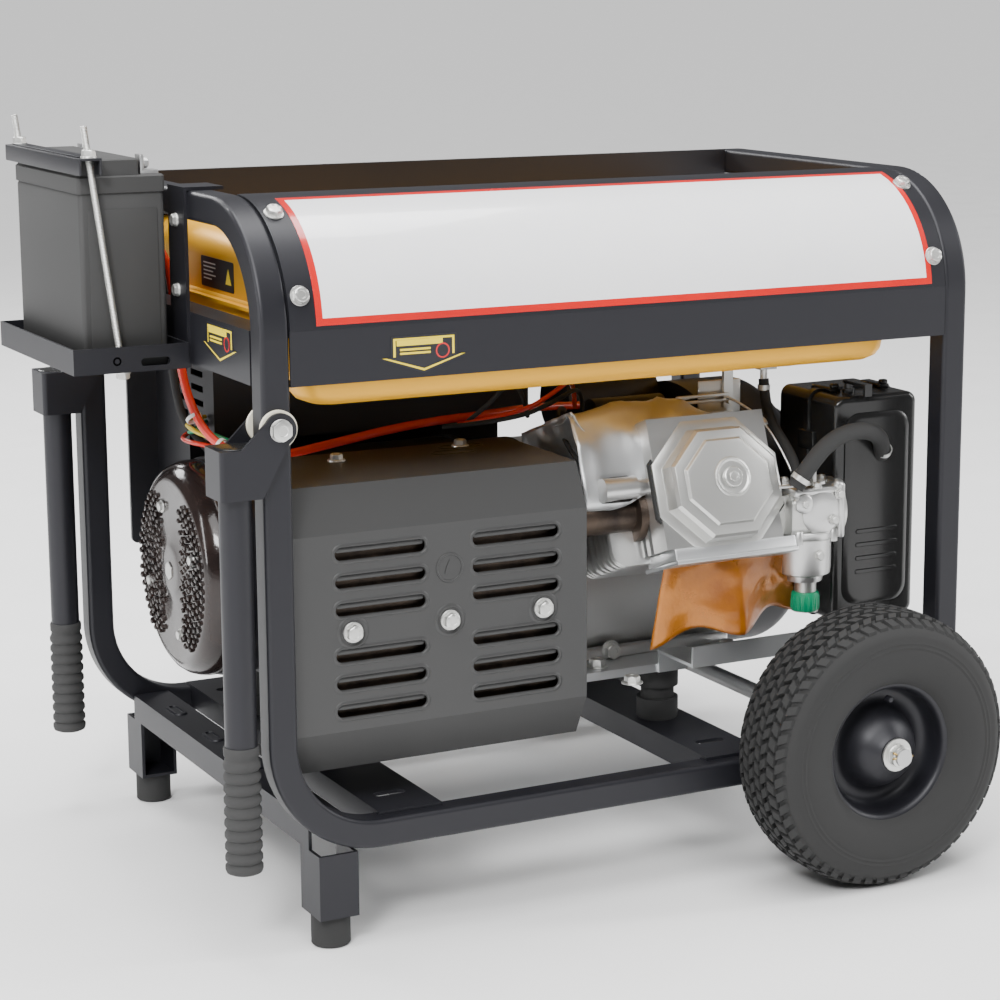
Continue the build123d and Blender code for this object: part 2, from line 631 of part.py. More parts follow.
def rubber_mounts():
    z0 = CROSS_TOP
    z1 = BASE_Z - BASE_PLATE
    places = [(ENGINE_CROSS_X, CRANK_Y - CASE_FRONT - 20), (ENGINE_CROSS_X, CRANK_Y + CASE_BACK - 20),
              (ALT_CROSS_X, CRANK_Y - 66), (ALT_CROSS_X, CRANK_Y + 66)]
    mounts = []
    for x, y in places:
        mid = (z0 + z1) / 2
        body = rod_z(MOUNT_R, z0, z1, x, y)
        waist = Pos(x, y, mid) * (Cylinder(MOUNT_R + 2, 12) - Cylinder(MOUNT_R - 4, 12))
        mounts.append(body - waist)
    return group(mounts)


def starter_motor():
    x0 = CASE_RIGHT - 104
    motor = rod_x(32, x0, CASE_RIGHT, CRANK_Y + 54, CRANK_Z + CASE_RISE + 33)
    solenoid = rod_x(15, x0 + 14, CASE_RIGHT - 10, CRANK_Y + 5, CRANK_Z + CASE_RISE + 28)
    bridge = block(x0 + 30, x0 + 70, CRANK_Y + 14, CRANK_Y + 30, CRANK_Z + CASE_RISE + 20, CRANK_Z + CASE_RISE + 36)
    return motor + solenoid + bridge


def muffler():
    can = rod_x(60, GUARD_LEFT + 40, GUARD_RIGHT - 26, -150, 300)
    can = fillet(can.edges().filter_by(GeomType.CIRCLE), 10)
    outlet = rod_z(13, 196, 250, GUARD_LEFT + 90, -150)
    outlet = outlet - rod_z(11, 195, 249, GUARD_LEFT + 90, -150)
    return can + outlet


def exhaust_pipe():
    pipe = rod_x(16, GUARD_RIGHT - 26, ENGINE_X - HEAD_HALF, -160, 330)
    flange = rod_x(26, ENGINE_X - HEAD_HALF - 8, ENGINE_X - HEAD_HALF, -160, 330)
    body = pipe + flange - rod_x(13.5, GUARD_RIGHT - 40, ENGINE_X - HEAD_HALF + 1, -160, 330)
    return body


def muffler_guard():
    b = GUARD_BEVEL
    h = GUARD_BEVEL_H

    def outline(t):
        return make_face(Polyline(
            (GUARD_Y + t, GUARD_LOW + h), (GUARD_Y + t, GUARD_TOP - h), (GUARD_Y + b + t * 0.6, GUARD_TOP - t),
            (GUARD_BACK, GUARD_TOP - t), (GUARD_BACK, GUARD_LOW + t), (GUARD_Y + b + t * 0.6, GUARD_LOW + t),
            close=True))

    face_plane = Plane((GUARD_LEFT, 0, 0), x_dir=(0, 1, 0), z_dir=(1, 0, 0))
    length = GUARD_RIGHT - GUARD_LEFT
    shell = extrude(face_plane * outline(0), length) - extrude(face_plane * outline(SHEET), length - SHEET)
    back = block(GUARD_LEFT - 1, GUARD_RIGHT - SHEET, GUARD_BACK - 40, GUARD_BACK + 1, GUARD_LOW - 1, GUARD_TOP - SHEET)
    shell = shell - back
    port = block(GUARD_RIGHT - 3, GUARD_RIGHT + 1, -190, -120, 296, 364)
    shell = shell - port
    for x in guard_slot_places():
        for row in (-1, 1):
            for i in (-1, 0, 1):
                z = guard_middle() + row * 44 + i * SLOT_PITCH
                slot = Rot(90, 0, 0) * extrude(SlotOverall(SLOT_L, SLOT_H), 6, both=True)
                shell = shell - Pos(x, GUARD_Y, z) * slot
    for x, y, z in guard_bolt_places():
        shell = shell - rod_y(4.2, GUARD_Y - 1, GUARD_Y + 6, x, z)
    return shell


def guard_middle():
    return (GUARD_LOW + GUARD_TOP) / 2


def guard_slot_places():
    span = GUARD_RIGHT - GUARD_LEFT
    return (GUARD_LEFT + span * 0.29, GUARD_RIGHT - span * 0.25)


def guard_bolt_places():
    span = GUARD_RIGHT - GUARD_LEFT
    middle = GUARD_LEFT + span * 0.52
    return [(middle + i * span * 0.325, GUARD_Y, guard_middle()) for i in (-1, 0, 1)]


def guard_bolts():
    bolts = []
    for x, y, z in guard_bolt_places():
        head = Pos(x, y, z) * Rot(90, 0, 0) * (hex_z(13, 7) + Cylinder(9, 2, align=(Align.CENTER, Align.CENTER, Align.MIN)))
        bolts.append(head + rod_y(4, y, -206.5, x, z))
    return group(bolts)


def shroud():
    half = HEAD_HALF + 12
    rise = HEAD_HALF + 4
    top = cylinder_frame(-6, rise, 176) * Box(2 * half, SHEET, 130)
    side = cylinder_frame(-6 - half + SHEET / 2, rise - 22, 196) * Box(SHEET, 44, 90)
    return top + side


def deflector():
    return cylinder_frame(4, -HEAD_HALF - 22, 212) * Box(104, 40, 1.5)


def engine_stay():
    y = CRANK_Y - CASE_FRONT - 105
    bar = block(ENGINE_X - 16, ENGINE_X + 110, y - 8, y + 8, 184, 187)
    lip = block(ENGINE_X - 16, ENGINE_X + 110, y - 8, y - 5, 187, 204)
    tab = block(ENGINE_X - 16, ENGINE_X + 14, y + 8, CRANK_Y - CASE_FRONT - 48, 184, 187)
    drop_z = BASE_Z - BASE_PLATE
    drop = block(ENGINE_X - 16, ENGINE_X + 14, CRANK_Y - CASE_FRONT - 51, CRANK_Y - CASE_FRONT - 48, drop_z, 187)
    return bar + lip + tab + drop


def spark_plug():
    body = cylinder_frame(-HEAD_HALF, 2, HEAD_TOP - 20) * Rot(0, -90, 0)
    shell = Cylinder(8, 12, align=(Align.CENTER, Align.CENTER, Align.MIN))
    cap = Pos(0, 0, 12) * Cylinder(11, 34, align=(Align.CENTER, Align.CENTER, Align.MIN))
    return body * (shell + cap)


def intake_insulator():
    x0 = ENGINE_X + HEAD_HALF
    return block(x0, CARB_X - 28, CARB_Y - 9, CARB_Y + 30, 306, 342) - rod_x(10, x0 - 1, CARB_X, CARB_Y + 4, 324)


def carburettor():
    body = block(CARB_X - 28, CARB_X + 26, CARB_Y - 22, CARB_Y + 26, 303, 344)
    body = fillet(body.edges().filter_by(Axis.X), 10)
    bowl = fillet(rod_z(25, 264, 303, CARB_X, CARB_Y).edges().sort_by(Axis.Z)[:1], 6)
    flange = rod_x(29, CARB_X + 26, AIR_X, CARB_Y + 4, 324)
    carb = body + bowl + flange
    return carb - rod_x(12, CARB_X - 30, AIR_X + 1, CARB_Y + 4, 324)


def cutoff_solenoid():
    return rod_z(10, 246, 264, CARB_X + 2, CARB_Y) + rod_z(12.5, 228, 246, CARB_X + 2, CARB_Y)


def air_cleaner_base():
    middle = (AIR_NEAR + AIR_FAR) / 2
    base = block(AIR_X, AIR_X + AIR_W, middle, AIR_FAR, AIR_LOW, AIR_HIGH)
    base = fillet(base.edges().filter_by(Axis.Y), 10)
    room = block(AIR_X + 3, AIR_X + AIR_W - 3, middle - 1, AIR_FAR - 3, AIR_LOW + 3, AIR_HIGH - 3)
    return base - fillet(room.edges().filter_by(Axis.Y), 8)


def air_cleaner_cover():
    middle = (AIR_NEAR + AIR_FAR) / 2
    cover = block(AIR_X, AIR_X + AIR_W, AIR_NEAR, middle, AIR_LOW, AIR_HIGH)
    cover = fillet(cover.edges().filter_by(Axis.Y), 10)
    cover = fillet(cover.faces().sort_by(Axis.Y)[0].edges(), 6)
    room = block(AIR_X + 3, AIR_X + AIR_W - 3, AIR_NEAR + 3, middle + 1, AIR_LOW + 3, AIR_HIGH - 3)
    cover = cover - fillet(room.edges().filter_by(Axis.Y), 8)
    return cover - rod_x(14, AIR_X - 1, AIR_X + 4, CARB_Y + 22, 324)


def filter_element():
    return block(AIR_X + 8, AIR_X + AIR_W - 8, AIR_NEAR + 12, AIR_FAR - 12, AIR_LOW + 22, AIR_HIGH - 60)


def choke_lever():
    x = AIR_X + 30
    y = AIR_NEAR + 24
    z = AIR_HIGH
    stem = rod_z(4, z - 1.5, z + 12, x, y) + rod_z(6, z + 0.3, z + 4, x, y)
    arm = block(x - 4, x + 4, y - 30, y + 4, z + 9, z + 12)
    tip = block(x - 4, x + 4, y - 33, y - 30, z + 0.5, z + 12)
    return stem + arm + tip


def choke_hole(shape):
    return shape - rod_z(4 + RUNNING, AIR_HIGH - 3.1, AIR_HIGH + 1, AIR_X + 30, AIR_NEAR + 24)


def throttle_bracket():
    plate = block(ENGINE_X + 30, ENGINE_X + 76, -118, -115, 406.5, 440)
    pin = rod_y(3, -126, -118, ENGINE_X + 60, 420)
    return plate + pin


def throttle_lever():
    x = ENGINE_X + 60
    arm = block(x - 5, x + 5, -122.3, -118.3, 414, 460)
    knob = fillet(rod_y(9, -134, -118.3, x, 461).edges().filter_by(GeomType.CIRCLE), 3)
    return arm + knob - rod_y(3 + RUNNING, -130, -117, x, 420)


def fuel_petcock():
    x = PETCOCK_X
    body = block(x - 9, x + 9, -130, -112, 448, 462)
    stem = rod_z(7, 462, TANK_BOTTOM, x, -121)
    spout = rod_z(3.5, 436, 448, x, -121)
    pin = rod_y(4, -134, -130, x, 455)
    return body + stem + spout + pin


def petcock_lever():
    x = PETCOCK_X
    arm = block(x - 4, x + 22, -137, -130.3, 451, 459)
    return arm - rod_y(4 + RUNNING, -134.1, -130, x, 455)


def hose(points, radii, r):
    path = FilletPolyline(*points, radius=radii) if len(radii) else Polyline(*points)
    start = Plane(origin=path @ 0, z_dir=path % 0)
    return sweep(start * Circle(r), path)


def bend_radii(points):
    """Largest arc for each corner: 0.45 of its shorter run over the tangent of half the turn."""
    radii = []
    for a, b, c in zip(points, points[1:], points[2:]):
        before = Vector(*b) - Vector(*a)
        after = Vector(*c) - Vector(*b)
        turn = math.radians(before.get_angle(after))
        radii.append(round(0.45 * min(before.length, after.length) / math.tan(turn / 2), 2))
    return radii


def fuel_hose():
    x = PETCOCK_X
    points = [(x, -121, 436), (x + 1, -124, 416), (x - 2, -142, 396), (x + 3, -164, 376), (x - 1, -181, 362),
              (x - 2, -184, 344)]
    return hose(points, bend_radii(points), 5.0) - fuel_petcock() - carburettor()


def breather_hose():
    points = [(ENGINE_X + 69, -226, 352), (ENGINE_X + 82, -230, 372), (ENGINE_X + 108, -228, 393),
              (ENGINE_X + 142, -222, 398), (ENGINE_X + 172, -216, 388), (ENGINE_X + 182, -200, 372)]
    case = block(AIR_X, AIR_X + AIR_W, AIR_NEAR, AIR_FAR, AIR_LOW, AIR_HIGH)
    return hose(points, bend_radii(points), 8.0) - case - valve_cover()


# ---- battery

def battery_tray():
    y0 = ROD_NEAR - 7.5
    y1 = ROD_FAR + 9.5
    outer = block(TRAY_LEFT, TRAY_RIGHT, y0, y1, TRAY_Z, TRAY_Z + TRAY_LIP)
    inner = block(TRAY_LEFT + SHEET, TRAY_RIGHT - SHEET, y0 + SHEET, y1 - SHEET, TRAY_Z + SHEET, TRAY_Z + TRAY_LIP + 1)
    tray = outer - inner
    slot = Pos(TRAY_RIGHT - 30, y0, TRAY_Z + 8) * Rot(90, 0, 0) * extrude(SlotOverall(26, 7), 4, both=True)
    tray = tray - slot
    for y in (ROD_NEAR, ROD_FAR):
        tray = tray - rod_z(ROD_R + 1, TRAY_Z - 1, TRAY_Z + SHEET + 1, rod_foot_x(), y)
    return tray


def rod_foot_x():
    return BATTERY_LEFT + 31


def rod_head_x():
    return BATTERY_LEFT + 8


def battery_hangers():
    pieces = []
    for y0 in (ROD_NEAR - 5, ROD_FAR - 33):
        plate = block(-HALF_L - HANGER, -HALF_L, y0, y0 + 40, TRAY_Z, FRAME_TOP)
        hook = block(-HALF_L - HANGER, -HALF_L + TUBE + 8, y0, y0 + 40, FRAME_TOP, FRAME_TOP + HANGER)
        pieces.append(plate + hook)
    return group(pieces)


def battery():
    x0 = BATTERY_LEFT
    x1 = BATTERY_LEFT + BATTERY_X
    case = block(x0, x1, BATTERY_NEAR, BATTERY_FAR, BATTERY_LOW, CASE_TOP)
    case = fillet(case.edges().filter_by(Axis.Z), 3)
    lid = block(x0 + 2, x1 - 22, BATTERY_NEAR + 2, BATTERY_FAR - 2, CASE_TOP, LID_TOP)
    return case + fillet(lid.edges().filter_by(Axis.Z), 3)


def battery_terminals():
    x1 = BATTERY_LEFT + BATTERY_X
    pieces = []
    for y in (BATTERY_NEAR + 12, BATTERY_FAR - 12):
        base = block(x1 - 20, x1 - 4, y - 7, y + 7, CASE_TOP, CASE_TOP + 4)
        post = block(x1 - 20, x1 - 16, y - 7, y + 7, CASE_TOP + 4, CASE_TOP + 17)
        pieces.append(base + post)
    return group(pieces)


def clamp_bar():
    y0 = ROD_NEAR - 9
    y1 = ROD_FAR + 9
    x0 = BATTERY_LEFT - 7
    x1 = BATTERY_LEFT + 18
    bar = block(x0, x1, y0, y1, LID_TOP, LID_TOP + SHEET)
    lip = block(x0, x0 + SHEET, y0, y1, LID_TOP - 12, LID_TOP)
    back = block(x1 - SHEET, x1, y0, BATTERY_NEAR - 1, LID_TOP - 12, LID_TOP)
    bar = bar + lip + back
    for y in (ROD_NEAR, ROD_FAR):
        bar = bar - rod_z(ROD_R + 1.2, LID_TOP - 5, LID_TOP + 5, rod_head_x(), y)
    return bar


def hold_down_rods():
    pieces = []
    z0 = TRAY_Z - 8
    z1 = LID_TOP + 30
    lean = math.degrees(math.atan2(rod_foot_x() - rod_head_x(), LID_TOP - TRAY_Z))
    for y in (ROD_NEAR, ROD_FAR):
        at_bar = Pos(rod_head_x(), y, LID_TOP + SHEET)
        at_tray = Pos(rod_foot_x(), y, TRAY_Z)
        rod = Pos(rod_head_x(), y, LID_TOP) * Rot(0, -lean, 0) * Pos(0, 0, (z0 + z1) / 2 - LID_TOP)
        rod = rod * Cylinder(ROD_R, z1 - z0)
        washer = at_bar * Cylinder(7, 1.2, align=(Align.CENTER, Align.CENTER, Align.MIN))
        nut = at_bar * Pos(0, 0, 1.2) * hex_z(11, 6)
        lower = at_tray * Rot(180, 0, 0) * hex_z(11, 6)
        pieces.append(rod + washer + nut + lower)
    return group(pieces)


def red_cable():
    x = -HALF_L - 7
    points = [(x, 60, CASE_TOP - 12), (x, 60, 612), (x + 14, 58, 588), (x + 36, 54, 570), (x + 40, 46, 532),
              (x + 39, 37, 486), (x + 41, 22, 442), (x + 47, -8, 410), (x + 62, -42, 396), (x + 92, -60, 394),
              (x + 150, -52, 400), (x + 210, -40, 406), (x + 270, -26, 408), (x + 330, -8, 406), (x + 390, 16, 405),
              (ENGINE_X - 14, 40, 398)]
    return hose(points, bend_radii(points), 4.0)


def black_cable():
    x = -HALF_L - 7
    points = [(x, 76, CASE_TOP - 12), (x, 75, 610), (x + 14, 72, 587), (x + 36, 68, 569), (x + 40, 63, 532),
              (x + 39, 58, 486), (x + 41, 52, 442), (x + 48, 48, 410), (x + 68, 40, 388)]
    return hose(points, bend_radii(points), 4.0)


# ---- control panel

def control_box():
    x0 = PANEL_LEFT + 30
    x1 = PANEL_RIGHT - 40
    top = TANK_BOTTOM - 6
    step = CRANK_Z + ALT_R + 6
    y_low = CRANK_Y + ALT_R + 10
    y_high = 77.0
    w = SHEET
    upper = block(x0, x1, y_high, PANEL_Y, step, top) - block(x0 + w, x1 - w, y_high + w, PANEL_Y + 1, step + w, top - w)
    lower = block(x0, x1, y_low, PANEL_Y, PANEL_LOW + 6, step + w)
    lower = lower - block(x0 + w, x1 - w, y_low + w, PANEL_Y + 1, PANEL_LOW + 6 + w, step + w + 1)
    box = upper + lower - block(x0 + w, x1 - w, y_low + w, PANEL_Y + 1, step - 1, step + w + 1)
    for row in range(5):
        for col in range(2):
            y = y_high + 28 + col * 42
            z = step + 16 + row * 14
            box = box - block(x0 - 1, x0 + w + 1, y, y + 32, z, z + 6)
    return box


def control_panel():
    plate = block(PANEL_LEFT, PANEL_RIGHT, PANEL_Y, PANEL_Y + PANEL_T, PANEL_LOW, PANEL_HIGH)
    plate = fillet(plate.edges().filter_by(Axis.Y), 6)
    for x, z, r in panel_shafts():
        plate = plate - rod_y(r + RUNNING, PANEL_Y - 1, PANEL_Y + PANEL_T + 1, x, z)
    return plate


def panel_shafts():
    """Centres and radii of the turning shafts: current knob, key, engine switch."""
    return [(-200.0, 415.0, 4.0), (30.0, 430.0, 6.0), (30.0, 370.0, 4.0)]


def power_sockets():
    face = PANEL_Y + PANEL_T
    pieces = []
    for x in (-80.0, -10.0):
        ring = rod_y(27, face, face + 10, x, 330) - rod_y(21, face + 2, face + 11, x, 330)
        pieces.append(ring)
    return group(pieces)


def weld_terminals():
    face = PANEL_Y + PANEL_T
    pieces = []
    for x in (-240.0, -170.0):
        body = rod_y(TERMINAL_R, face, face + 22, x, 305)
        pieces.append(body - rod_y(TERMINAL_BORE, face + 4, face + 23, x, 305))
    return group(pieces)


def volt_meter():
    face = PANEL_Y + PANEL_T
    return block(-90, -30, face, face + 8, 395, 450) - block(-85, -35, face + 6, face + 9, 400, 445)


def current_knob():
    face = PANEL_Y + PANEL_T + 0.3
    x, z, r = panel_shafts()[0]
    knob = fillet(rod_y(20, face, face + 16, x, z).edges().sort_by(Axis.Y)[-1:], 3)
    pointer = block(x - 1.5, x + 1.5, face + 12, face + 17, z + 2, z + 17)
    return knob + pointer + rod_y(r, PANEL_Y - 6, face, x, z)


def key_switch():
    face = PANEL_Y + PANEL_T + 0.3
    x, z, r = panel_shafts()[1]
    barrel = rod_y(11, face, face + 6, x, z)
    blade = block(x - 1.2, x + 1.2, face + 6, face + 26, z - 8, z + 8)
    return barrel + blade + rod_y(r, PANEL_Y - 6, face, x, z)


def engine_switch():
    face = PANEL_Y + PANEL_T + 0.3
    x, z, r = panel_shafts()[2]
    toggle = rod_y(9, face, face + 4, x, z) + block(x - 4, x + 4, face + 4, face + 15, z - 12, z + 12)
    return toggle + rod_y(r, PANEL_Y - 6, face, x, z)


MODEL = {
    "battery_end_hoop": pivot_hole(end_hoop(-POST_X)),
    "engine_end_hoop": end_hoop(POST_X),
    "lower_rail_left": lower_rail(),
    "lower_rail_right": far_side(lower_rail()),
    "crossmembers": group([crossmember(ENGINE_CROSS_X, CROSS_W), crossmember(ALT_CROSS_X, CROSS_W),
                           foot_crossmember(), axle_brackets()]),
    "leg_brackets": leg_brackets(),
    "rubber_feet": rubber_feet(),
    "side_rails": group([side_rail(), far_side(side_rail())]),
    "end_rails": end_rails(),
    "top_panels": group([top_panel(), far_side(top_panel())]),
    "frame_bolts": group([panel_bolts(), guard_bolts()]),
    "axle": axle(),
    "axle_nuts": axle_nuts(),
    "tyre_left": tyre_at(-WHEEL_Y),
    "tyre_right": tyre_at(WHEEL_Y),
    "rim_left": rim_at(-WHEEL_Y),
    "rim_right": rim_at(WHEEL_Y),
    "handle_left": handle_bar(),
    "handle_right": far_side(handle_bar()),
    "grip_left": handle_grip(),
    "grip_right": far_side(handle_grip()),
    "handle_pivots": handle_pivots(),
    "handle_bushes": handle_bushes(),
    "fuel_tank": group([fuel_tank(), fuel_gauge()]),
    "fuel_cap": fuel_cap(),
    "fuel_petcock": fuel_petcock(),
    "petcock_lever": petcock_lever(),
    "hoses": group([fuel_hose(), breather_hose()]),
    "crankcase": crankcase(),
    "cylinder_head": group([cylinder_block(), spark_plug()]),
    "valve_cover": valve_cover(),
    "crank_bearings": crank_bearings(),
    "crankshaft": crankshaft(),
    "piston": piston(),
    "flywheel": flywheel(),
    "rotor": rotor(),
    "alternator_housing": group([alternator_housing(), stator()]),
    "end_cover": end_cover(),
    "blower_housing": blower_housing(),
    "recoil_starter": recoil_starter(),
    "recoil_grip": recoil_grip(),
    "engine_base": group([engine_base(), engine_stay()]),
    "rubber_mounts": rubber_mounts(),
    "starter_motor": starter_motor(),
    "muffler": group([muffler(), exhaust_pipe()]),
    "muffler_guard": muffler_guard(),
    "heat_shields": group([shroud(), deflector(), throttle_bracket()]),
    "carburettor": group([carburettor(), intake_insulator(), cutoff_solenoid()]),
    "air_cleaner": group([choke_hole(air_cleaner_base()), choke_hole(air_cleaner_cover()), filter_element()]),
    "choke_lever": choke_lever(),
    "throttle_lever": throttle_lever(),
    "battery_tray": group([battery_tray(), battery_hangers()]),
    "battery": group([battery(), battery_terminals()]),
    "battery_hold_down": group([clamp_bar(), hold_down_rods()]),
    "battery_cables": group([red_cable(), black_cable()]),
    "control_box": control_box(),
    "control_panel": group([control_panel(), power_sockets(), weld_terminals(), volt_meter()]),
    "current_knob": current_knob(),
    "key_switch": key_switch(),
    "engine_switch": engine_switch(),
}

for node, solid in MODEL.items():
    save(node, solid)
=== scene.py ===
import json
import math
import random

import bmesh
import bpy
from bpy.props import FloatProperty, FloatVectorProperty, IntProperty, PointerProperty
from bpy.types import Operator, Panel, PropertyGroup
from mathutils import Matrix, Vector, noise


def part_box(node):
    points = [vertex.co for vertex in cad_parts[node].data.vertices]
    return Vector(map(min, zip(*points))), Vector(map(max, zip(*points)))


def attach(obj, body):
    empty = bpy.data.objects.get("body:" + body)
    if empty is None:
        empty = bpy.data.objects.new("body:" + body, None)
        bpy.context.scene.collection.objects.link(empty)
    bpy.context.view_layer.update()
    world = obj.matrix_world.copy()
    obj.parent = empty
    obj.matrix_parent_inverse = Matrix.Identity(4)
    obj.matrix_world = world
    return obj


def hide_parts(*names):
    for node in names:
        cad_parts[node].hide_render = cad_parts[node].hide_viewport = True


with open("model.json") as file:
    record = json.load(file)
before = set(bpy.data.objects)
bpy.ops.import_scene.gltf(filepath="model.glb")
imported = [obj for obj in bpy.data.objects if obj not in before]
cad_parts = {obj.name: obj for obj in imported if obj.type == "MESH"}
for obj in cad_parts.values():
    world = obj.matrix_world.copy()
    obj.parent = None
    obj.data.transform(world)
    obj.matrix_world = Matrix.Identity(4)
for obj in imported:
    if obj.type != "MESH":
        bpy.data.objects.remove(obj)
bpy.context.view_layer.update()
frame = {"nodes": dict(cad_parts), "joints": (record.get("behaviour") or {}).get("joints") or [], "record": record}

bl_info = {
    "name": "Engine Driven Welder",
    "version": (1, 0, 0),
    "blender": (4, 5, 0),
    "location": "View3D > Sidebar > Welder",
    "description": "Builds the finishes and the detailed pieces of an open-frame welding set",
    "category": "Add Mesh",
}

MM = 0.001
JOINTS = {joint["name"]: joint for joint in frame["joints"]}


def middle(node):
    low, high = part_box(node)
    return (low + high) / 2


MIDDLE_X = middle("top_panels").x
CRANK = Vector(JOINTS["crank_spin"]["pos_m"])
TILT = math.radians(20)
FRONT, BACK = (0, -1, 0), (0, 1, 0)
BATTERY_END, ENGINE_END = (-1, 0, 0), (1, 0, 0)


def edges_mm(node):
    """The box of a CAD node in millimetres, x counted from the middle of the tube frame."""
    low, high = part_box(node)
    shift = Vector((MIDDLE_X, 0, 0))
    return (low - shift) / MM, (high - shift) / MM


# ---- places

def put(point, place=None):
    """A point in millimetres, from the middle of the tube frame or in a local place."""
    if place is None:
        return Vector(point) * MM + Vector((MIDDLE_X, 0, 0))
    return place @ (Vector(point) * MM)


def wall(point, out, right=None):
    """A local place on a face: Z stands out of it, X runs to the right as one looks at it."""
    z = Vector(out).normalized()
    x = Vector(right).normalized() if right else Vector((0, 0, 1)).cross(z)
    if x.length < 0.1:
        x = Vector((1, 0, 0))
    x.normalize()
    turn = Matrix((x, z.cross(x), z)).transposed().to_4x4()
    return Matrix.Translation(put(point)) @ turn


def bore_place(x=0.0, up=0.0, out=0.0):
    """A local place in the tilted cylinder: X along the crank, Y up across it, Z out along the bore."""
    turn = Matrix.Rotation(math.pi / 2 - TILT, 4, "X")
    return Matrix.Translation(CRANK) @ turn @ Matrix.Translation(Vector((x, up, out)) * MM)


# ---- shapes

def skin(bm, rings, close=False, index=0):
    """Joins rings of points with quads, and caps both ends unless the rings close on themselves."""
    loops = [[bm.verts.new(p) for p in ring] for ring in rings]
    pairs = list(zip(loops, loops[1:])) + ([(loops[-1], loops[0])] if close else [])
    faces = []
    for a, b in pairs:
        n = len(a)
        faces += [bm.faces.new((a[i], a[(i + 1) % n], b[(i + 1) % n], b[i])) for i in range(n)]
    if not close:
        faces += [bm.faces.new(loops[0][::-1]), bm.faces.new(loops[-1])]
    for face in faces:
        face.material_index = index


def outline(cx, cy, hx, hy, r, n=5):
    """The points of a rectangle with rounded corners."""
    r = max(min(r, hx - 0.01, hy - 0.01), 0.01)
    points = []
    for corner, (sx, sy) in enumerate(((1, 1), (-1, 1), (-1, -1), (1, -1))):
        for i in range(n + 1):
            a = math.pi / 2 * (corner + i / n)
            points.append((cx + sx * (hx - r) + r * math.cos(a), cy + sy * (hy - r) + r * math.sin(a)))
    return points


def loft(bm, sections, place, centre=(0, 0), n=5, close=False, index=0):
    """Stacks rounded rectangles, each (half width, half height, corner, level)."""
    skin(bm, [[put((x, y, z), place) for x, y in outline(*centre, hx, hy, r, n)]
              for hx, hy, r, z in sections], close, index)


def block(bm, low, high, r=1.0, place=None, index=0):
    """A box with every edge softened."""
    (x0, y0, z0), (x1, y1, z1) = low, high
    hx, hy = (x1 - x0) / 2, (y1 - y0) / 2
    b = min(r, hx * 0.6, hy * 0.6, (z1 - z0) * 0.4)
    steps = ((b, z0), (b * 0.3, z0 + b * 0.3), (0, z0 + b), (0, z1 - b), (b * 0.3, z1 - b * 0.3), (b, z1))
    loft(bm, [(hx - k, hy - k, max(r - k, 0.05), z) for k, z in steps], place,
         ((x0 + x1) / 2, (y0 + y1) / 2), 3, index=index)


def lathe(bm, profile, place, steps=40, close=False, index=0):
    """Turns (radius, level) points about the local Z."""
    rings = []
    for r, z in profile:
        ring = [(2 * math.pi * i / steps) for i in range(steps)]
        rings.append([put((r * math.cos(a), r * math.sin(a), z), place) for a in ring])
    skin(bm, rings, close, index)


def plate(bm, points, place, z0, z1, index=0):
    skin(bm, [[put((x, y, z), place) for x, y in points] for z in (z0, z1)], index=index)


def hex_head(bm, place, across, height, flange=0.0, lift=0.0, index=0):
    """A hexagon with a chamfered crown on a round washer face."""
    if flange:
        crown = ((flange, lift), (flange, lift + 0.9), (flange * 0.96, lift + 1.4), (flange * 0.6, lift + 1.6))
        lathe(bm, crown, place, 32, index=index)
        lift += 1.3
    rings = []
    for level, limit in ((0, 2), (0.72, 2), (0.9, 1.06), (1, 0.92), (1, 0.55), (0.93, 0.5)):
        ring = []
        for i in range(36):
            a = 2 * math.pi * i / 36
            flat = 1 / math.cos((a + math.pi / 6) % (math.pi / 3) - math.pi / 6)
            r = across / 2 * min(flat, limit)
            ring.append(put((r * math.cos(a), r * math.sin(a), lift + height * level), place))
        rings.append(ring)
    skin(bm, rings, index=index)


def thread(bm, place, r, z0, z1, pitch=1.25, steps=14):
    profile = [(r * 0.6, z0), (r * 0.85, z0 + 0.6)]
    z = z0 + 1.0
    while z < z1 - 1.0:
        profile += [(r * 0.86, z), (r, z + pitch / 2)]
        z += pitch
    lathe(bm, profile + [(r * 0.85, z1 - 0.5), (r * 0.6, z1)], place, steps)


def piece(name, bm, finishes, body="chassis", stands_for=(), smooth=34, bevel=0.0):
    """Turns the mesh into an object with its finishes, riding on its body."""
    bmesh.ops.recalc_face_normals(bm, faces=bm.faces)
    mesh = bpy.data.meshes.new(name)
    bm.to_mesh(mesh)
    bm.free()
    for finish in finishes if isinstance(finishes, (list, tuple)) else [finishes]:
        mesh.materials.append(bpy.data.materials[finish])
    mesh.polygons.foreach_set("use_smooth", [True] * len(mesh.polygons))
    mesh.set_sharp_from_angle(angle=math.radians(smooth))
    obj = bpy.data.objects.new(name, mesh)
    bpy.context.scene.collection.objects.link(obj)
    if bevel:
        edge = obj.modifiers.new("soft_edges", "BEVEL")
        edge.width = bevel * MM
        edge.segments = 3
        edge.limit_method = "ANGLE"
        edge.angle_limit = math.radians(28)
    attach(obj, body)
    if stands_for:
        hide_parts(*stands_for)
    return obj


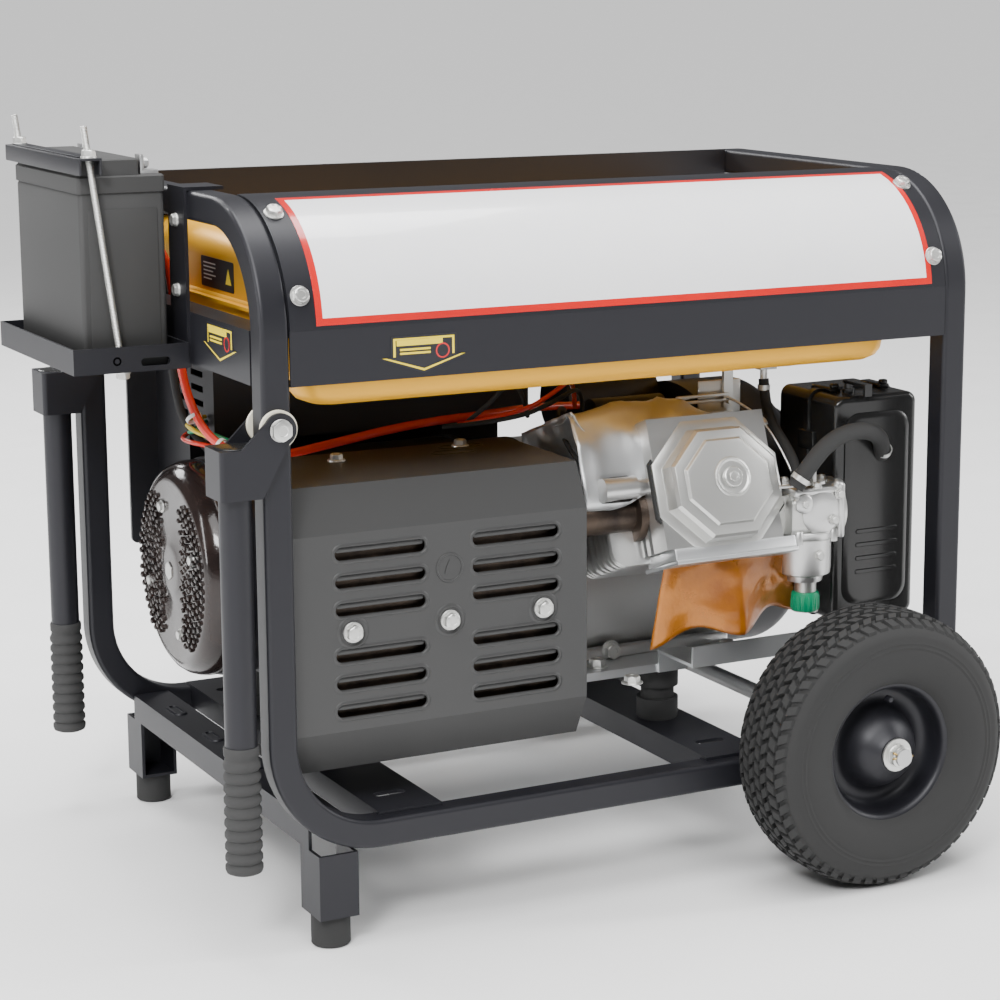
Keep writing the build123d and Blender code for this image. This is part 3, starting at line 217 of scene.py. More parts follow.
def cable(name, points, radius, finish, body="chassis", stands_for=()):
    """A hose or wire held at both ends, as one smooth line through its control points."""
    curve = bpy.data.curves.new(name, "CURVE")
    curve.dimensions = "3D"
    curve.bevel_depth = radius * MM
    curve.bevel_resolution = 5
    curve.resolution_u = 10
    curve.use_fill_caps = True
    line = curve.splines.new("NURBS")
    line.points.add(len(points) - 1)
    for spot, p in zip(line.points, points):
        spot.co = (*put(p), 1.0)
    line.order_u = 3
    line.use_endpoint_u = True
    curve.materials.append(bpy.data.materials[finish])
    obj = bpy.data.objects.new(name, curve)
    bpy.context.scene.collection.objects.link(obj)
    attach(obj, body)
    if stands_for:
        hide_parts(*stands_for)
    return obj


# ---- finishes

def add_node(tree, kind, **settings):
    node = tree.nodes.new(kind)
    for key, value in settings.items():
        if hasattr(node, key):
            setattr(node, key, value)
        else:
            node.inputs[key.replace("_", " ")].default_value = value
    return node


def mixed(tree, factor, first, second):
    mix = tree.nodes.new("ShaderNodeMix")
    mix.data_type = "RGBA"
    for slot, value in ((0, factor), (6, first), (7, second)):
        if isinstance(value, bpy.types.NodeSocket):
            tree.links.new(value, mix.inputs[slot])
        else:
            mix.inputs[slot].default_value = value
    return mix.outputs[2]


def spread(tree, source, low, high, to_low, to_high):
    node = add_node(tree, "ShaderNodeMapRange", From_Min=low, From_Max=high, To_Min=to_low, To_Max=to_high)
    tree.links.new(source, node.inputs["Value"])
    return node.outputs["Result"]


def make_finish(name, colour, second, rough, metallic=0.0, patch=9.0, grain=700.0, depth=0.05, coat=0.0,
                wear=None, cells=False, rough_span=0.08, dust=0.0, stretch=(1, 1, 1), relief=0.0006):
    """Colour patches, a fine grain in the relief and the gloss, softened edges, and wear or dust if asked."""
    mat = bpy.data.materials.new(name)
    mat.use_nodes = True
    tree = mat.node_tree
    shader = tree.nodes["Principled BSDF"]
    shader.inputs["Metallic"].default_value = metallic
    shader.inputs["Coat Weight"].default_value = coat
    shader.inputs["Coat Roughness"].default_value = 0.04
    shader.inputs["Specular IOR Level"].default_value = 0.5 if max(colour) > 0.06 or metallic else 0.2
    spot = tree.nodes.new("ShaderNodeTexCoord").outputs["Object"]
    scale = add_node(tree, "ShaderNodeMapping")
    scale.inputs["Scale"].default_value = stretch
    tree.links.new(spot, scale.inputs["Vector"])
    patches = add_node(tree, "ShaderNodeTexNoise", Scale=patch, Detail=6.0, Roughness=0.6)
    tree.links.new(scale.outputs[0], patches.inputs["Vector"])
    if cells:
        fine = add_node(tree, "ShaderNodeTexVoronoi", Scale=grain)
        texture = fine.outputs["Distance"]
    else:
        fine = add_node(tree, "ShaderNodeTexNoise", Scale=grain, Detail=3.0)
        texture = fine.outputs["Fac"]
    tree.links.new(scale.outputs[0], fine.inputs["Vector"])
    tone = mixed(tree, spread(tree, patches.outputs["Fac"], 0.35, 0.65, 0, 1), (*colour, 1), (*second, 1))
    if cells and metallic:
        tone = mixed(tree, spread(tree, fine.outputs["Color"], 0, 1, 0, 0.35), tone, (*[c * 0.6 for c in colour], 1))
    edge = add_node(tree, "ShaderNodeBevel", samples=4, Radius=relief)
    geometry = tree.nodes.new("ShaderNodeNewGeometry")
    if wear:
        agree = add_node(tree, "ShaderNodeVectorMath", operation="DOT_PRODUCT")
        tree.links.new(edge.outputs[0], agree.inputs[0])
        tree.links.new(geometry.outputs["Normal"], agree.inputs[1])
        rim = spread(tree, agree.outputs["Value"], 0.8, 0.97, 0.7, 0)
        broken = add_node(tree, "ShaderNodeMath", operation="MULTIPLY")
        tree.links.new(rim, broken.inputs[0])
        tree.links.new(spread(tree, patches.outputs["Fac"], 0.45, 0.7, 0, 1), broken.inputs[1])
        tone = mixed(tree, broken.outputs[0], tone, (*wear, 1))
    if dust:
        up = tree.nodes.new("ShaderNodeSeparateXYZ")
        tree.links.new(geometry.outputs["Normal"], up.inputs[0])
        tone = mixed(tree, spread(tree, up.outputs["Z"], 0.3, 1, 0, dust), tone, (0.32, 0.3, 0.27, 1))
    tree.links.new(tone, shader.inputs["Base Color"])
    gloss = spread(tree, patches.outputs["Fac"], 0.3, 0.7, max(rough - rough_span, 0.03), rough + rough_span)
    tree.links.new(gloss, shader.inputs["Roughness"])
    bump = add_node(tree, "ShaderNodeBump", Strength=depth, Distance=0.0006)
    tree.links.new(texture, bump.inputs["Height"])
    tree.links.new(edge.outputs[0], bump.inputs["Normal"])
    tree.links.new(bump.outputs[0], shader.inputs["Normal"])
    return mat


class FrameSettings(PropertyGroup):
    enamel: FloatVectorProperty(name="Frame enamel", description="Colour of the tube frame", subtype="COLOR",
                                default=(0.0035, 0.0035, 0.004))
    guard: FloatVectorProperty(name="Guard paint", description="Colour of the muffler guard", subtype="COLOR",
                               default=(0.027, 0.0245, 0.026))
    panel: FloatVectorProperty(name="Side sheet", description="Colour of the sheet on the top panels",
                               subtype="COLOR", default=(0.86, 0.86, 0.87))
    border: FloatVectorProperty(name="Side sheet border", description="Colour of the border line",
                                subtype="COLOR", default=(0.62, 0.012, 0.01))
    border_width: FloatProperty(name="Border width", description="Width of the border line", unit="LENGTH",
                                default=0.006, min=0.001, max=0.02)


class EngineSettings(PropertyGroup):
    tank: FloatVectorProperty(name="Tank enamel", description="Colour of the fuel tank", subtype="COLOR",
                              default=(0.80, 0.33, 0.006))
    sheet: FloatVectorProperty(name="Amber sheet", description="Colour of the folded heat sheet",
                               subtype="COLOR", default=(0.40, 0.135, 0.008))
    crumple: FloatProperty(name="Crumple", description="Depth of the dents in the heat shield", unit="LENGTH",
                           default=0.007, min=0.0, max=0.02)
    studs: FloatProperty(name="Stud spacing", description="Distance between studs on the alternator cover",
                         unit="LENGTH", default=0.0078, min=0.005, max=0.02)


class WheelSettings(PropertyGroup):
    blocks: IntProperty(name="Tread blocks", description="Blocks in each row of the tread", default=58,
                        min=20, max=80)
    tread: FloatProperty(name="Tread depth", description="Height of the tread blocks", unit="LENGTH",
                         default=0.0048, min=0.001, max=0.01)
    rings: IntProperty(name="Grip rings", description="Rings on each folding handle's grip", default=9,
                       min=4, max=12)


class StageSettings(PropertyGroup):
    floor: FloatVectorProperty(name="Floor", description="Colour of the floor", subtype="COLOR",
                               default=(0.86, 0.86, 0.86))
    key: FloatProperty(name="Key light", description="Power of the main soft light", default=115.0, min=0.0)
    sky: FloatProperty(name="Room light", description="Strength of the light all round", default=0.16, min=0.0)
    sun: FloatProperty(name="Overhead light", description="Strength of the wide light from above", default=3.7,
                       min=0.0)
    lens: FloatProperty(name="Lens", description="Focal length in millimetres", default=93.59, min=20.0)


class WELDER_OT_finishes(Operator):
    """Make every finish and give each CAD node its own."""
    bl_idname = "welder.finishes"
    bl_label = "Finishes"

    def execute(self, context):
        look, engine = context.scene.welder_frame, context.scene.welder_engine
        enamel, guard, tank = tuple(look.enamel), tuple(look.guard), tuple(engine.tank)
        black = (0.012, 0.012, 0.013)
        make_finish("frame_black", enamel, (0.006, 0.0055, 0.0065), 0.1, grain=260, depth=0.05, coat=0.15,
                    wear=(0.03, 0.03, 0.033), dust=0.004, relief=0.0012)
        make_finish("guard_charcoal", guard, (0.032, 0.029, 0.030), 0.46, grain=1500, depth=0.25,
                    wear=(0.09, 0.085, 0.085), relief=0.0016)
        make_finish("tank_orange", tank, (0.76, 0.29, 0.005), 0.17, grain=240, depth=0.04, coat=0.7)
        make_finish("zinc_steel", (0.66, 0.67, 0.66), (0.56, 0.58, 0.62), 0.27, 1.0, patch=60, grain=1800,
                    depth=0.12, wear=(0.85, 0.84, 0.8))
        make_finish("galvanised", (0.62, 0.65, 0.68), (0.47, 0.51, 0.56), 0.22, 1.0, patch=22, grain=240,
                    depth=0.06, cells=True, rough_span=0.1)
        make_finish("cast_aluminium", (0.52, 0.51, 0.49), (0.38, 0.37, 0.35), 0.47, 0.75, patch=30, grain=1900,
                    depth=0.5, wear=(0.75, 0.74, 0.72), rough_span=0.12)
        make_finish("machined_steel", (0.42, 0.41, 0.40), (0.30, 0.29, 0.28), 0.32, 1.0, patch=40, grain=900,
                    depth=0.15, stretch=(1, 9, 1))
        make_finish("black_rubber", (0.008, 0.008, 0.0085), (0.014, 0.0135, 0.013), 0.36, grain=1300, depth=0.3)
        make_finish("tyre_rubber", (0.0075, 0.007, 0.0068), (0.016, 0.0145, 0.013), 0.42, patch=26, grain=1100,
                    depth=0.4, wear=(0.16, 0.14, 0.12), rough_span=0.1)
        make_finish("grip_rubber", (0.010, 0.0115, 0.013), (0.018, 0.0195, 0.022), 0.33, grain=1600, depth=0.25)
        make_finish("gloss_black_plastic", (0.008, 0.0075, 0.0075), black, 0.14, grain=420, depth=0.12, coat=0.4)
        make_finish("battery_case", (0.007, 0.0078, 0.011), (0.012, 0.0125, 0.016), 0.25, grain=1700, depth=0.35)
        make_finish("cream_nylon", (0.70, 0.68, 0.54), (0.60, 0.57, 0.43), 0.42, grain=900, depth=0.1)
        make_finish("cable_red", (0.62, 0.018, 0.012), (0.5, 0.012, 0.01), 0.3, grain=600, depth=0.1)
        make_finish("panel_black", (0.008, 0.008, 0.009), (0.013, 0.013, 0.0145), 0.3, grain=1500, depth=0.25,
                    wear=(0.07, 0.07, 0.07))
        make_finish("red_plastic", (0.55, 0.012, 0.01), (0.45, 0.01, 0.008), 0.3, grain=800, depth=0.1)
        make_finish("sheet_white", tuple(look.panel), (0.82, 0.82, 0.84), 0.2, grain=200, depth=0.02, coat=0.5)
        make_finish("sheet_red", tuple(look.border), (0.5, 0.01, 0.01), 0.22, grain=300, depth=0.03, coat=0.5)
        make_finish("label_yellow", (0.86, 0.68, 0.02), (0.8, 0.6, 0.02), 0.3, grain=500, depth=0.05)
        make_finish("mark_white", (0.75, 0.75, 0.74), (0.68, 0.68, 0.66), 0.4, grain=600, depth=0.05)
        make_finish("amber_sheet", tuple(engine.sheet), (0.27, 0.08, 0.006), 0.3, 0.35, patch=18, grain=300,
                    depth=0.35, coat=0.3, rough_span=0.12)
        make_finish("exhaust_steel", (0.05, 0.04, 0.035), (0.12, 0.09, 0.07), 0.45, 0.9, patch=35, grain=900, depth=0.2)
        make_finish("cover_brown", (0.011, 0.0075, 0.007), (0.022, 0.014, 0.012), 0.16, patch=30, grain=500,
                    depth=0.2, coat=0.4, wear=(0.12, 0.1, 0.09))
        make_finish("cap_green", (0.0, 0.30, 0.14), (0.0, 0.24, 0.11), 0.35, grain=900, depth=0.15)
        make_finish("wire_yellow", (0.6, 0.45, 0.02), (0.55, 0.4, 0.02), 0.35, grain=700, depth=0.1)
        make_finish("brass", (0.72, 0.52, 0.2), (0.6, 0.42, 0.16), 0.28, 1.0, patch=50, grain=1500, depth=0.1)
        for part in frame["record"]["subparts"]:
            node = frame["nodes"][part["node"]]
            finish = bpy.data.materials[part["material_slot"]]
            if not node.data.materials:
                node.data.materials.append(finish)
            for slot in node.material_slots:
                slot.material = finish
        for slot in frame["nodes"]["muffler"].material_slots:
            slot.material = bpy.data.materials["exhaust_steel"]
        return {"FINISHED"}


class WELDER_OT_frame(Operator):
    """Add the side sheets with their border, the plain marks and the bolts of the tube frame."""
    bl_idname = "welder.frame"
    bl_label = "Frame details"

    def side_sheet(self, side, border):
        low, high = edges_mm("top_panels")
        r = 108.0
        cy, cz = high.y - r, high.z - r
        bm = bmesh.new()
        x0, x1 = low.x + 23, high.x - 15
        turn = border / (r * MM)
        a0, a1 = math.radians(4.5), math.radians(77)
        stops_x = [x0, x0 + border / MM, *[x0 + (x1 - x0) * i / 12 for i in range(1, 12)], x1 - border / MM, x1]
        stops_a = [a0, a0 + turn, *[a0 + (a1 - a0) * i / 14 for i in range(2, 13)], a1 - turn, a1]
        last_x, last_a = len(stops_x) - 2, len(stops_a) - 2
        layers = []
        for lift in (0.45, 0.05):
            layers.append([[bm.verts.new(put((x, side * (cy + (r + lift) * math.cos(a)),
                                              cz + (r + lift) * math.sin(a)))) for x in stops_x] for a in stops_a])
        outer, inner = layers
        for i in range(last_a + 1):
            for j in range(last_x + 1):
                rim = i in (0, last_a) or j in (0, last_x)
                for grid in layers:
                    face = bm.faces.new((grid[i][j], grid[i][j + 1], grid[i + 1][j + 1], grid[i + 1][j]))
                    face.material_index = int(rim)
        rim = [(0, j) for j in range(last_x + 1)] + [(i, last_x + 1) for i in range(last_a + 1)]
        rim += [(last_a + 1, j) for j in range(last_x + 1, 0, -1)] + [(i, 0) for i in range(last_a + 1, 0, -1)]
        for (i, j), (k, l) in zip(rim, rim[1:] + rim[:1]):
            bm.faces.new((outer[i][j], outer[k][l], inner[k][l], inner[i][j])).material_index = 1
        name = "side_sheet_left" if side < 0 else "side_sheet_right"
        piece(name, bm, ["sheet_white", "sheet_red"], smooth=60)

    def arrow(self, name, place):
        bm = bmesh.new()
        shape = [(-30, 15), (30, 15), (30, -3), (41, -3), (0, -17), (-41, -3), (-30, -3)]
        plate(bm, shape, place, 0.05, 0.3, 1)
        plate(bm, [(x * 0.93, y * 0.88) for x, y in shape], place, 0.3, 0.45, 0)
        plate(bm, [(x * 0.86, y * 0.76) for x, y in shape], place, 0.45, 0.6, 1)
        plate(bm, outline(-4, 9.4, 21, 2.6, 0.5, 2), place, 0.6, 0.72, 0)
        for level in (3.6, 0.4):
            plate(bm, outline(-8, level, 14, 0.9, 0.4, 2), place, 0.6, 0.72, 0)
        lathe(bm, [(6.4, 0.6), (6.4, 0.8), (5.2, 0.8), (5.2, 0.6)],
              place @ Matrix.Translation((0.017, 0.001, 0)), 28, True, 2)
        piece(name, bm, ["label_yellow", "panel_black", "red_plastic"])

    def execute(self, context):
        border = context.scene.welder_frame.border_width
        for side in (-1, 1):
            self.side_sheet(side, border)
        low, high = edges_mm("side_rails")
        rail_z = (low.z + high.z) / 2 - 2
        self.arrow("mark_arrow_left", wall((-206, low.y, rail_z), FRONT))
        self.arrow("mark_arrow_right", wall((188, high.y, rail_z), BACK))
        end_low, end_high = edges_mm("end_rails")
        self.arrow("mark_arrow_end", wall((end_low.x, -158, rail_z + 6), BATTERY_END))
        low, high = edges_mm("top_panels")
        r = 108.0
        # painted shade: black strips behind the seams where the side panels meet the hoops, standing in for the dark
        # shadow in each seam
        bm = bmesh.new()
        for side in (-1, 1):
            for x0, x1 in ((low.x - 0.4, low.x + 6), (high.x - 6, high.x + 0.4)):
                rings = []
                for i in range(17):
                    a = math.pi / 2 * i / 16
                    rings.append([put((x, side * (high.y - r + q * math.cos(a)), high.z - r + q * math.sin(a)))
                                  for x, q in ((x0, r - 8), (x1, r - 8), (x1, r - 2.2), (x0, r - 2.2))])
                foot = [p - Vector((0, 0, (high.z - r - low.z) * MM)) for p in rings[0]]
                skin(bm, [foot] + rings)
        piece("panel_seam_shade_strips", bm, "frame_black", smooth=50)
        bm = bmesh.new()
        for side in (-1, 1):
            for x in (low.x + 11, high.x - 11):
                for degrees in (18, 62):
                    a = math.radians(degrees)
                    out = Vector((0, side * math.cos(a), math.sin(a)))
                    at = Vector((x, side * (high.y - r), high.z - r)) + out * r
                    hex_head(bm, wall(at, out), 12, 5, 8.5)
        guard_low, guard_high = edges_mm("muffler_guard")
        span = guard_high.x - guard_low.x
        level = (guard_low.z + guard_high.z) / 2
        for i in (-1, 0, 1):
            at = (guard_low.x + span * (0.52 + 0.325 * i), guard_low.y, level)
            hex_head(bm, wall(at, FRONT), 13, 6, 9)
        hex_head(bm, wall((-102, -102, guard_high.z), (0, 0, 1)), 10, 5, 8)
        hex_head(bm, wall((-229, -115, guard_high.z), (0, 0, 1)), 10, 5, 8)
        piece("frame_bolt_heads", bm, "zinc_steel", stands_for=["frame_bolts"])
        bm = bmesh.new()
        x = guard_low.x * 0 + end_low.x + 60
        for y in (-150, -50, 50, 150):
            loft(bm, [(7, 17, 6, 0), (6, 16, 5.5, 1.6), (4, 14, 4, 1.8), (3.4, 13.4, 3, 0.4)],
                 wall((x, y, 110), (0, 0, 1)), n=4)
        piece("floor_member_presses", bm, "frame_black")
        return {"FINISHED"}


class WELDER_OT_guard(Operator):
    """Roll the lips of the muffler guard's slots and press its bolt seats and mark."""
    bl_idname = "welder.guard"
    bl_label = "Muffler guard"

    def execute(self, context):
        low, high = edges_mm("muffler_guard")
        span, level = high.x - low.x, (low.z + high.z) / 2
        bm = bmesh.new()
        for x in (low.x + span * 0.29, high.x - span * 0.25):
            for row in (-44, 44):
                for step in (-24, 0, 24):
                    place = wall((x, low.y, level + row + step), FRONT)
                    lip = [(45, 9, 9, 0.02), (44, 8, 8, 0.7), (42.8, 6.8, 6.8, 1.1), (41.9, 5.9, 5.9, 0.6),
                           (41.4, 5.4, 5.4, -1.5), (43, 7, 7, -0.8)]
                    loft(bm, lip, place, n=8, close=True)
                    hood = [(40.5, 1.9, 1.9, -3.6), (40.5, 2.3, 2.3, -2.4), (39.5, 1.4, 1.4, -1.9)]
                    loft(bm, hood, place @ Matrix.Translation((0, 0.0032, 0)), n=6)
        # painted shade: a dark steel sheet just behind the slots, so they read dark like the shade inside the guard
        slot_shade_sheet = bmesh.new()
        block(slot_shade_sheet, (low.x + 8, low.y + 11, low.z + 26), (high.x - 8, low.y + 12.5, high.z - 34), 0.5)
        piece("guard_slot_shade_sheet", slot_shade_sheet, "exhaust_steel")
        for i in (-1, 0, 1):
            place = wall((low.x + span * (0.52 + 0.325 * i), low.y, level), FRONT)
            lathe(bm, [(14.5, 0.02), (13.2, 0.9), (11.8, 1.0), (10.6, 0.1)], place, 40, True)
        mark = wall((low.x + span * 0.52, low.y, level + 46), FRONT)
        lathe(bm, [(13, 0.02), (12.6, 0.7), (11.2, 0.7), (10.8, 0.02)], mark, 44, True)
        plate(bm, [(-4.5, -5), (4.5, -5), (3, 1), (0, 7), (-3, 1)], mark, 0.02, 0.6)
        top = wall((-120, -125, high.z), (0, 0, 1))
        for place in (top, wall((-102, -102, high.z), (0, 0, 1))):
            loft(bm, [(22, 9, 9, 0.02), (21, 8, 8, 0.6), (19.5, 6.5, 6.5, 0.6), (19, 6, 6, 0.05)], place, n=6,
                 close=True)
        piece("guard_pressings", bm, "guard_charcoal", smooth=50)
        return {"FINISHED"}


class WELDER_OT_wheels(Operator):
    """Build the treaded tyres, the dished rims, and the axle nuts with their split pins."""
    bl_idname = "welder.wheels"
    bl_label = "Wheels"

    def tyre(self, bm, place, r, blocks, tread):
        base = r - tread
        side = [(62, 28), (66, 33.2), (71, 37.2), (78, 40.2), (87, 41.7), (95, 41.9), (97, 41.3), (99, 41.9),
                (101, 41.2), (103, 41.7), (105, 40.9), (107.5, 41), (110.5, 39.9), (114, 37.8), (117, 34.6),
                (base - 3, 30.5), (base - 1.2, 25), (base - 0.3, 16)]
        profile = side + [(base, 0)] + [(q, -z) for q, z in reversed(side)] + [(61.4, -20), (61.4, 20)]
        lathe(bm, profile, place, 120, True)
        rows = ((4.6, 7.4, r, r - 0.1, 0.0, 1), (14.0, 8.4, r - 0.1, r - 0.7, 0.5, -1),
                (23.6, 8.0, r - 0.9, r - 3.0, 0.05, 1), (32.4, 7.2, r - 3.6, r - 8.4, 0.5, -1))
        step = 2 * math.pi / blocks
        for k in range(blocks):
            for side_z in (-1, 1):
                for z, width, top_in, top_out, phase, lean in rows:
                    rings = []
                    for outer, share in ((False, 1.0), (True, 0.84)):
                        ring = []
                        for u, v in ((-1, -1), (1, -1), (1, 1), (-1, 1)):
                            level = z + v * width / 2 * share
                            angle = step * (k + phase + 0.25 * side_z) + u * step * 0.36 * share
                            angle += lean * v * step * 0.16
                            edge = top_in if v < 0 else top_out
                            radius = edge if outer else edge - tread - 1.5
                            ring.append(put((radius * math.cos(angle), radius * math.sin(angle),
                                             side_z * level), place))
                        rings.append(ring)
                    skin(bm, rings)

    def execute(self, context):
        wheel = context.scene.welder_wheels
        face = [(8.05, 38), (16, 38), (17.5, 36.6), (20, 34), (25, 30.5), (30, 25.5), (34, 19), (36.8, 12),
                (39.2, 6.5), (42.5, 3.6), (47, 3), (51.5, 3.6), (55, 6.4), (57, 11), (57.8, 18), (58.3, 24),
                (59.4, 27), (61.2, 29), (63, 29.6), (64.4, 29.0), (64, 27.6), (61.8, 26.6), (61.5, 12)]
        for side, out, name in ((-1, FRONT, "left"), (1, BACK, "right")):
            body = "wheel_" + name
            low, high = edges_mm("tyre_" + name)
            centre = (low + high) / 2
            place = wall(centre, out)
            bm = bmesh.new()
            self.tyre(bm, place, (high.z - low.z) / 2, wheel.blocks, wheel.tread / MM)
            piece("tyre_tread_" + name, bm, "tyre_rubber", body, ["tyre_" + name], 30)
            bm = bmesh.new()
            lathe(bm, face + [(r, -z) for r, z in reversed(face)], place, 96, True)
            lathe(bm, [(3, 38.5), (3, 43), (2.2, 45), (1, 45)], place @ Matrix.Translation((0.0, 0.0485, -0.016)), 12)
            piece("rim_dish_" + name, bm, "frame_black", body, ["rim_" + name], 40)
        bm = bmesh.new()
        for side, out, name in ((-1, FRONT, "left"), (1, BACK, "right")):
            low, high = edges_mm("rim_" + name)
            centre = (low + high) / 2
            start = (high.y - low.y) / 2 + 0.5
            place = wall(centre, out)
            lathe(bm, [(8.3, start), (15, start), (15.3, start + 0.7), (15, start + 2.2), (11, start + 2.5)], place)
            hex_head(bm, place, 19, 6.5, 10.5, start + 2.4)
            lathe(bm, [(8, start), (8, start + 11.6), (7.2, start + 12.8), (3, start + 13.2)], place, 28)
            ring = [(1.1 * math.cos(a), 1.1 * math.sin(a)) for a in (0, 1.57, 3.14, 4.71)]
            pin = place @ Matrix.Translation((0, 0, (start + 10.5) * MM)) @ Matrix.Rotation(math.pi / 2, 4, "Y")
            plate(bm, ring, pin, -11, 11, 1)
            plate(bm, ring, pin @ Matrix.Rotation(0.5, 4, "X"), -12, -8, 1)
        piece("axle_ends", bm, ["zinc_steel", "brass"], stands_for=["axle_nuts"])
        return {"FINISHED"}


class WELDER_OT_handles(Operator):
    """Mould the ribbed grips and turn the hinge bolts of the folding handles."""
    bl_idname = "welder.handles"
    bl_label = "Folding handles"

    def execute(self, context):
        rings = context.scene.welder_wheels.rings
        pivots = bmesh.new()
        for out, name in ((FRONT, "left"), (BACK, "right")):
            low, high = edges_mm("grip_" + name)
            centre = (low + high) / 2
            tall = high.z - low.z
            profile = [(3, 0), (12.5, 0.2), (15, 1.4), (15.9, 4), (15.9, 7)]
            pitch = (tall - 20) / rings
            for i in range(rings):
                z = 9 + pitch * (i + 0.5)
                profile += [(13.5, z - pitch * 0.46), (14.5, z - pitch * 0.36), (15.8, z - pitch * 0.16),
                            (15.8, z + pitch * 0.16), (14.5, z + pitch * 0.36)]
            profile += [(13.9, tall - 9), (15, tall - 7.5), (15.2, tall - 1.5), (14.6, tall), (13.6, tall)]
            bm = bmesh.new()
            place = Matrix.Translation(put((centre.x, centre.y, low.z)))
            lathe(bm, profile, place, 40)
            body = "fold_handle_" + name
            piece("grip_ribbed_" + name, bm, "grip_rubber", body, ["grip_" + name], 60)
            cap = bmesh.new()
            bar_top = 441
            top = Matrix.Translation(put((centre.x, centre.y, bar_top)))
            lathe(cap, [(16.5, 0), (16.6, 0.4), (16, 0.8), (14, 1.0), (6, 1.1), (1, 1.1)], top, 40)
            piece("handle_cap_" + name, cap, "gloss_black_plastic", body, smooth=50)
            pivot = Vector(JOINTS["handle_" + name + "_fold"]["pos_m"])
            out_y = edges_mm("handle_pivots")[0 if out == FRONT else 1].y
            inner = Vector(((pivot.x - MIDDLE_X) / MM, out_y - (6 if out == BACK else -6), pivot.z / MM))
            hex_head(pivots, wall(inner, out), 16, 4.4, 9.5)
            back = Vector((inner.x, inner.y * 0.845, inner.z))
            away = Vector(out) * -1
            hex_head(pivots, wall(back, away), 15, 5, 9)
            thread(pivots, wall(back, away), 5, 5, 11)
        piece("handle_hinge_bolts", pivots, "zinc_steel", stands_for=["handle_pivots"])
        return {"FINISHED"}


class WELDER_OT_tank(Operator):
    """Add the tank's seam bead, gauge, filler ring and plain marks."""
    bl_idname = "welder.tank"
    bl_label = "Fuel tank"

    def execute(self, context):
        low, high = edges_mm("side_rails")
        tank_low, tank_high = edges_mm("fuel_tank")
        bm = bmesh.new()
        hx, hy = tank_high.x - 8, tank_high.y - 20
        bead = [(hx + 0.2, hy + 0.2, 45, high.z + 3), (hx + 2.2, hy + 2.2, 47, high.z + 3.2),
                (hx + 1.4, hy + 1.4, 46, high.z + 5.4), (hx - 0.6, hy - 0.6, 45, high.z + 6.4)]
        loft(bm, bead, Matrix.Translation(put((0, 0, 0))), n=10, close=True)
        for y in (-70, 70):
            block(bm, (-250, y - 7, 591.5), (-60, y + 7, 593.6), 1.0)
            block(bm, (165, y - 7, 591.5), (250, y + 7, 593.6), 1.0)
        front = Matrix.Translation(put((0, tank_low.y + 20, 0)))
        roll = [(hx - 34, 10, 9, 461), (hx - 20, 18, 16, 462.2), (hx - 10, 23, 20, 466), (hx - 5, 25.4, 22, 472),
                (hx - 3, 26, 23, 480), (hx - 3, 25, 23, 489)]
        loft(bm, roll, front, (0, 20), n=8)
        piece("tank_seam", bm, "tank_orange", smooth=60)
        bm = bmesh.new()
        gauge = Matrix.Translation(put((120, 0, 592)))
        lathe(bm, [(20, 0), (20, 6), (19, 8.6), (16.5, 9.2), (15.5, 8.0), (15.2, 8.0)], gauge, 48, index=0)
        lathe(bm, [(15.2, 8.0), (15, 8.3), (1, 8.5)], gauge, 48, index=1)
        plate(bm, [(-11, -0.7), (10, -0.7), (12, 0), (10, 0.7), (-11, 0.7)],
              gauge @ Matrix.Rotation(0.7, 4, "Z"), 8.45, 8.9, 2)
        lathe(bm, [(35, 0.3), (35, 2.2), (33, 3), (27, 3)], Matrix.Translation(put((0, 0, 592))), 56, index=0)
        piece("tank_gauge", bm, ["gloss_black_plastic", "mark_white", "red_plastic"])
        bm = bmesh.new()
        end = tank_low.x + 8
        place = wall((end, -23, 556), BATTERY_END)
        plate(bm, outline(0, 0, 40, 13.5, 2, 3), place, 0.05, 0.35, 0)
        for i, (w, z) in enumerate(((15, 8), (15, 4.5), (12, 1), (15, -2.5), (10, -6))):
            plate(bm, outline(w - 34, z, w, 0.6, 0.3, 2), place, 0.35, 0.45, 1)
        plate(bm, [(20, -7), (34, -7), (27, 7)], place, 0.35, 0.45, 2)
        piece("tank_mark", bm, ["panel_black", "mark_white", "label_yellow"])
        cap_low, cap_high = edges_mm("fuel_cap")
        bm = bmesh.new()
        place = Matrix.Translation(put((0, 0, cap_high.z)))
        lathe(bm, [(24, -0.3), (23, 0.0), (20, 0.0), (19.4, -0.3)], place, 48, True)
        piece("cap_ring", bm, "gloss_black_plastic", "fuel_cap", smooth=50)
        return {"FINISHED"}


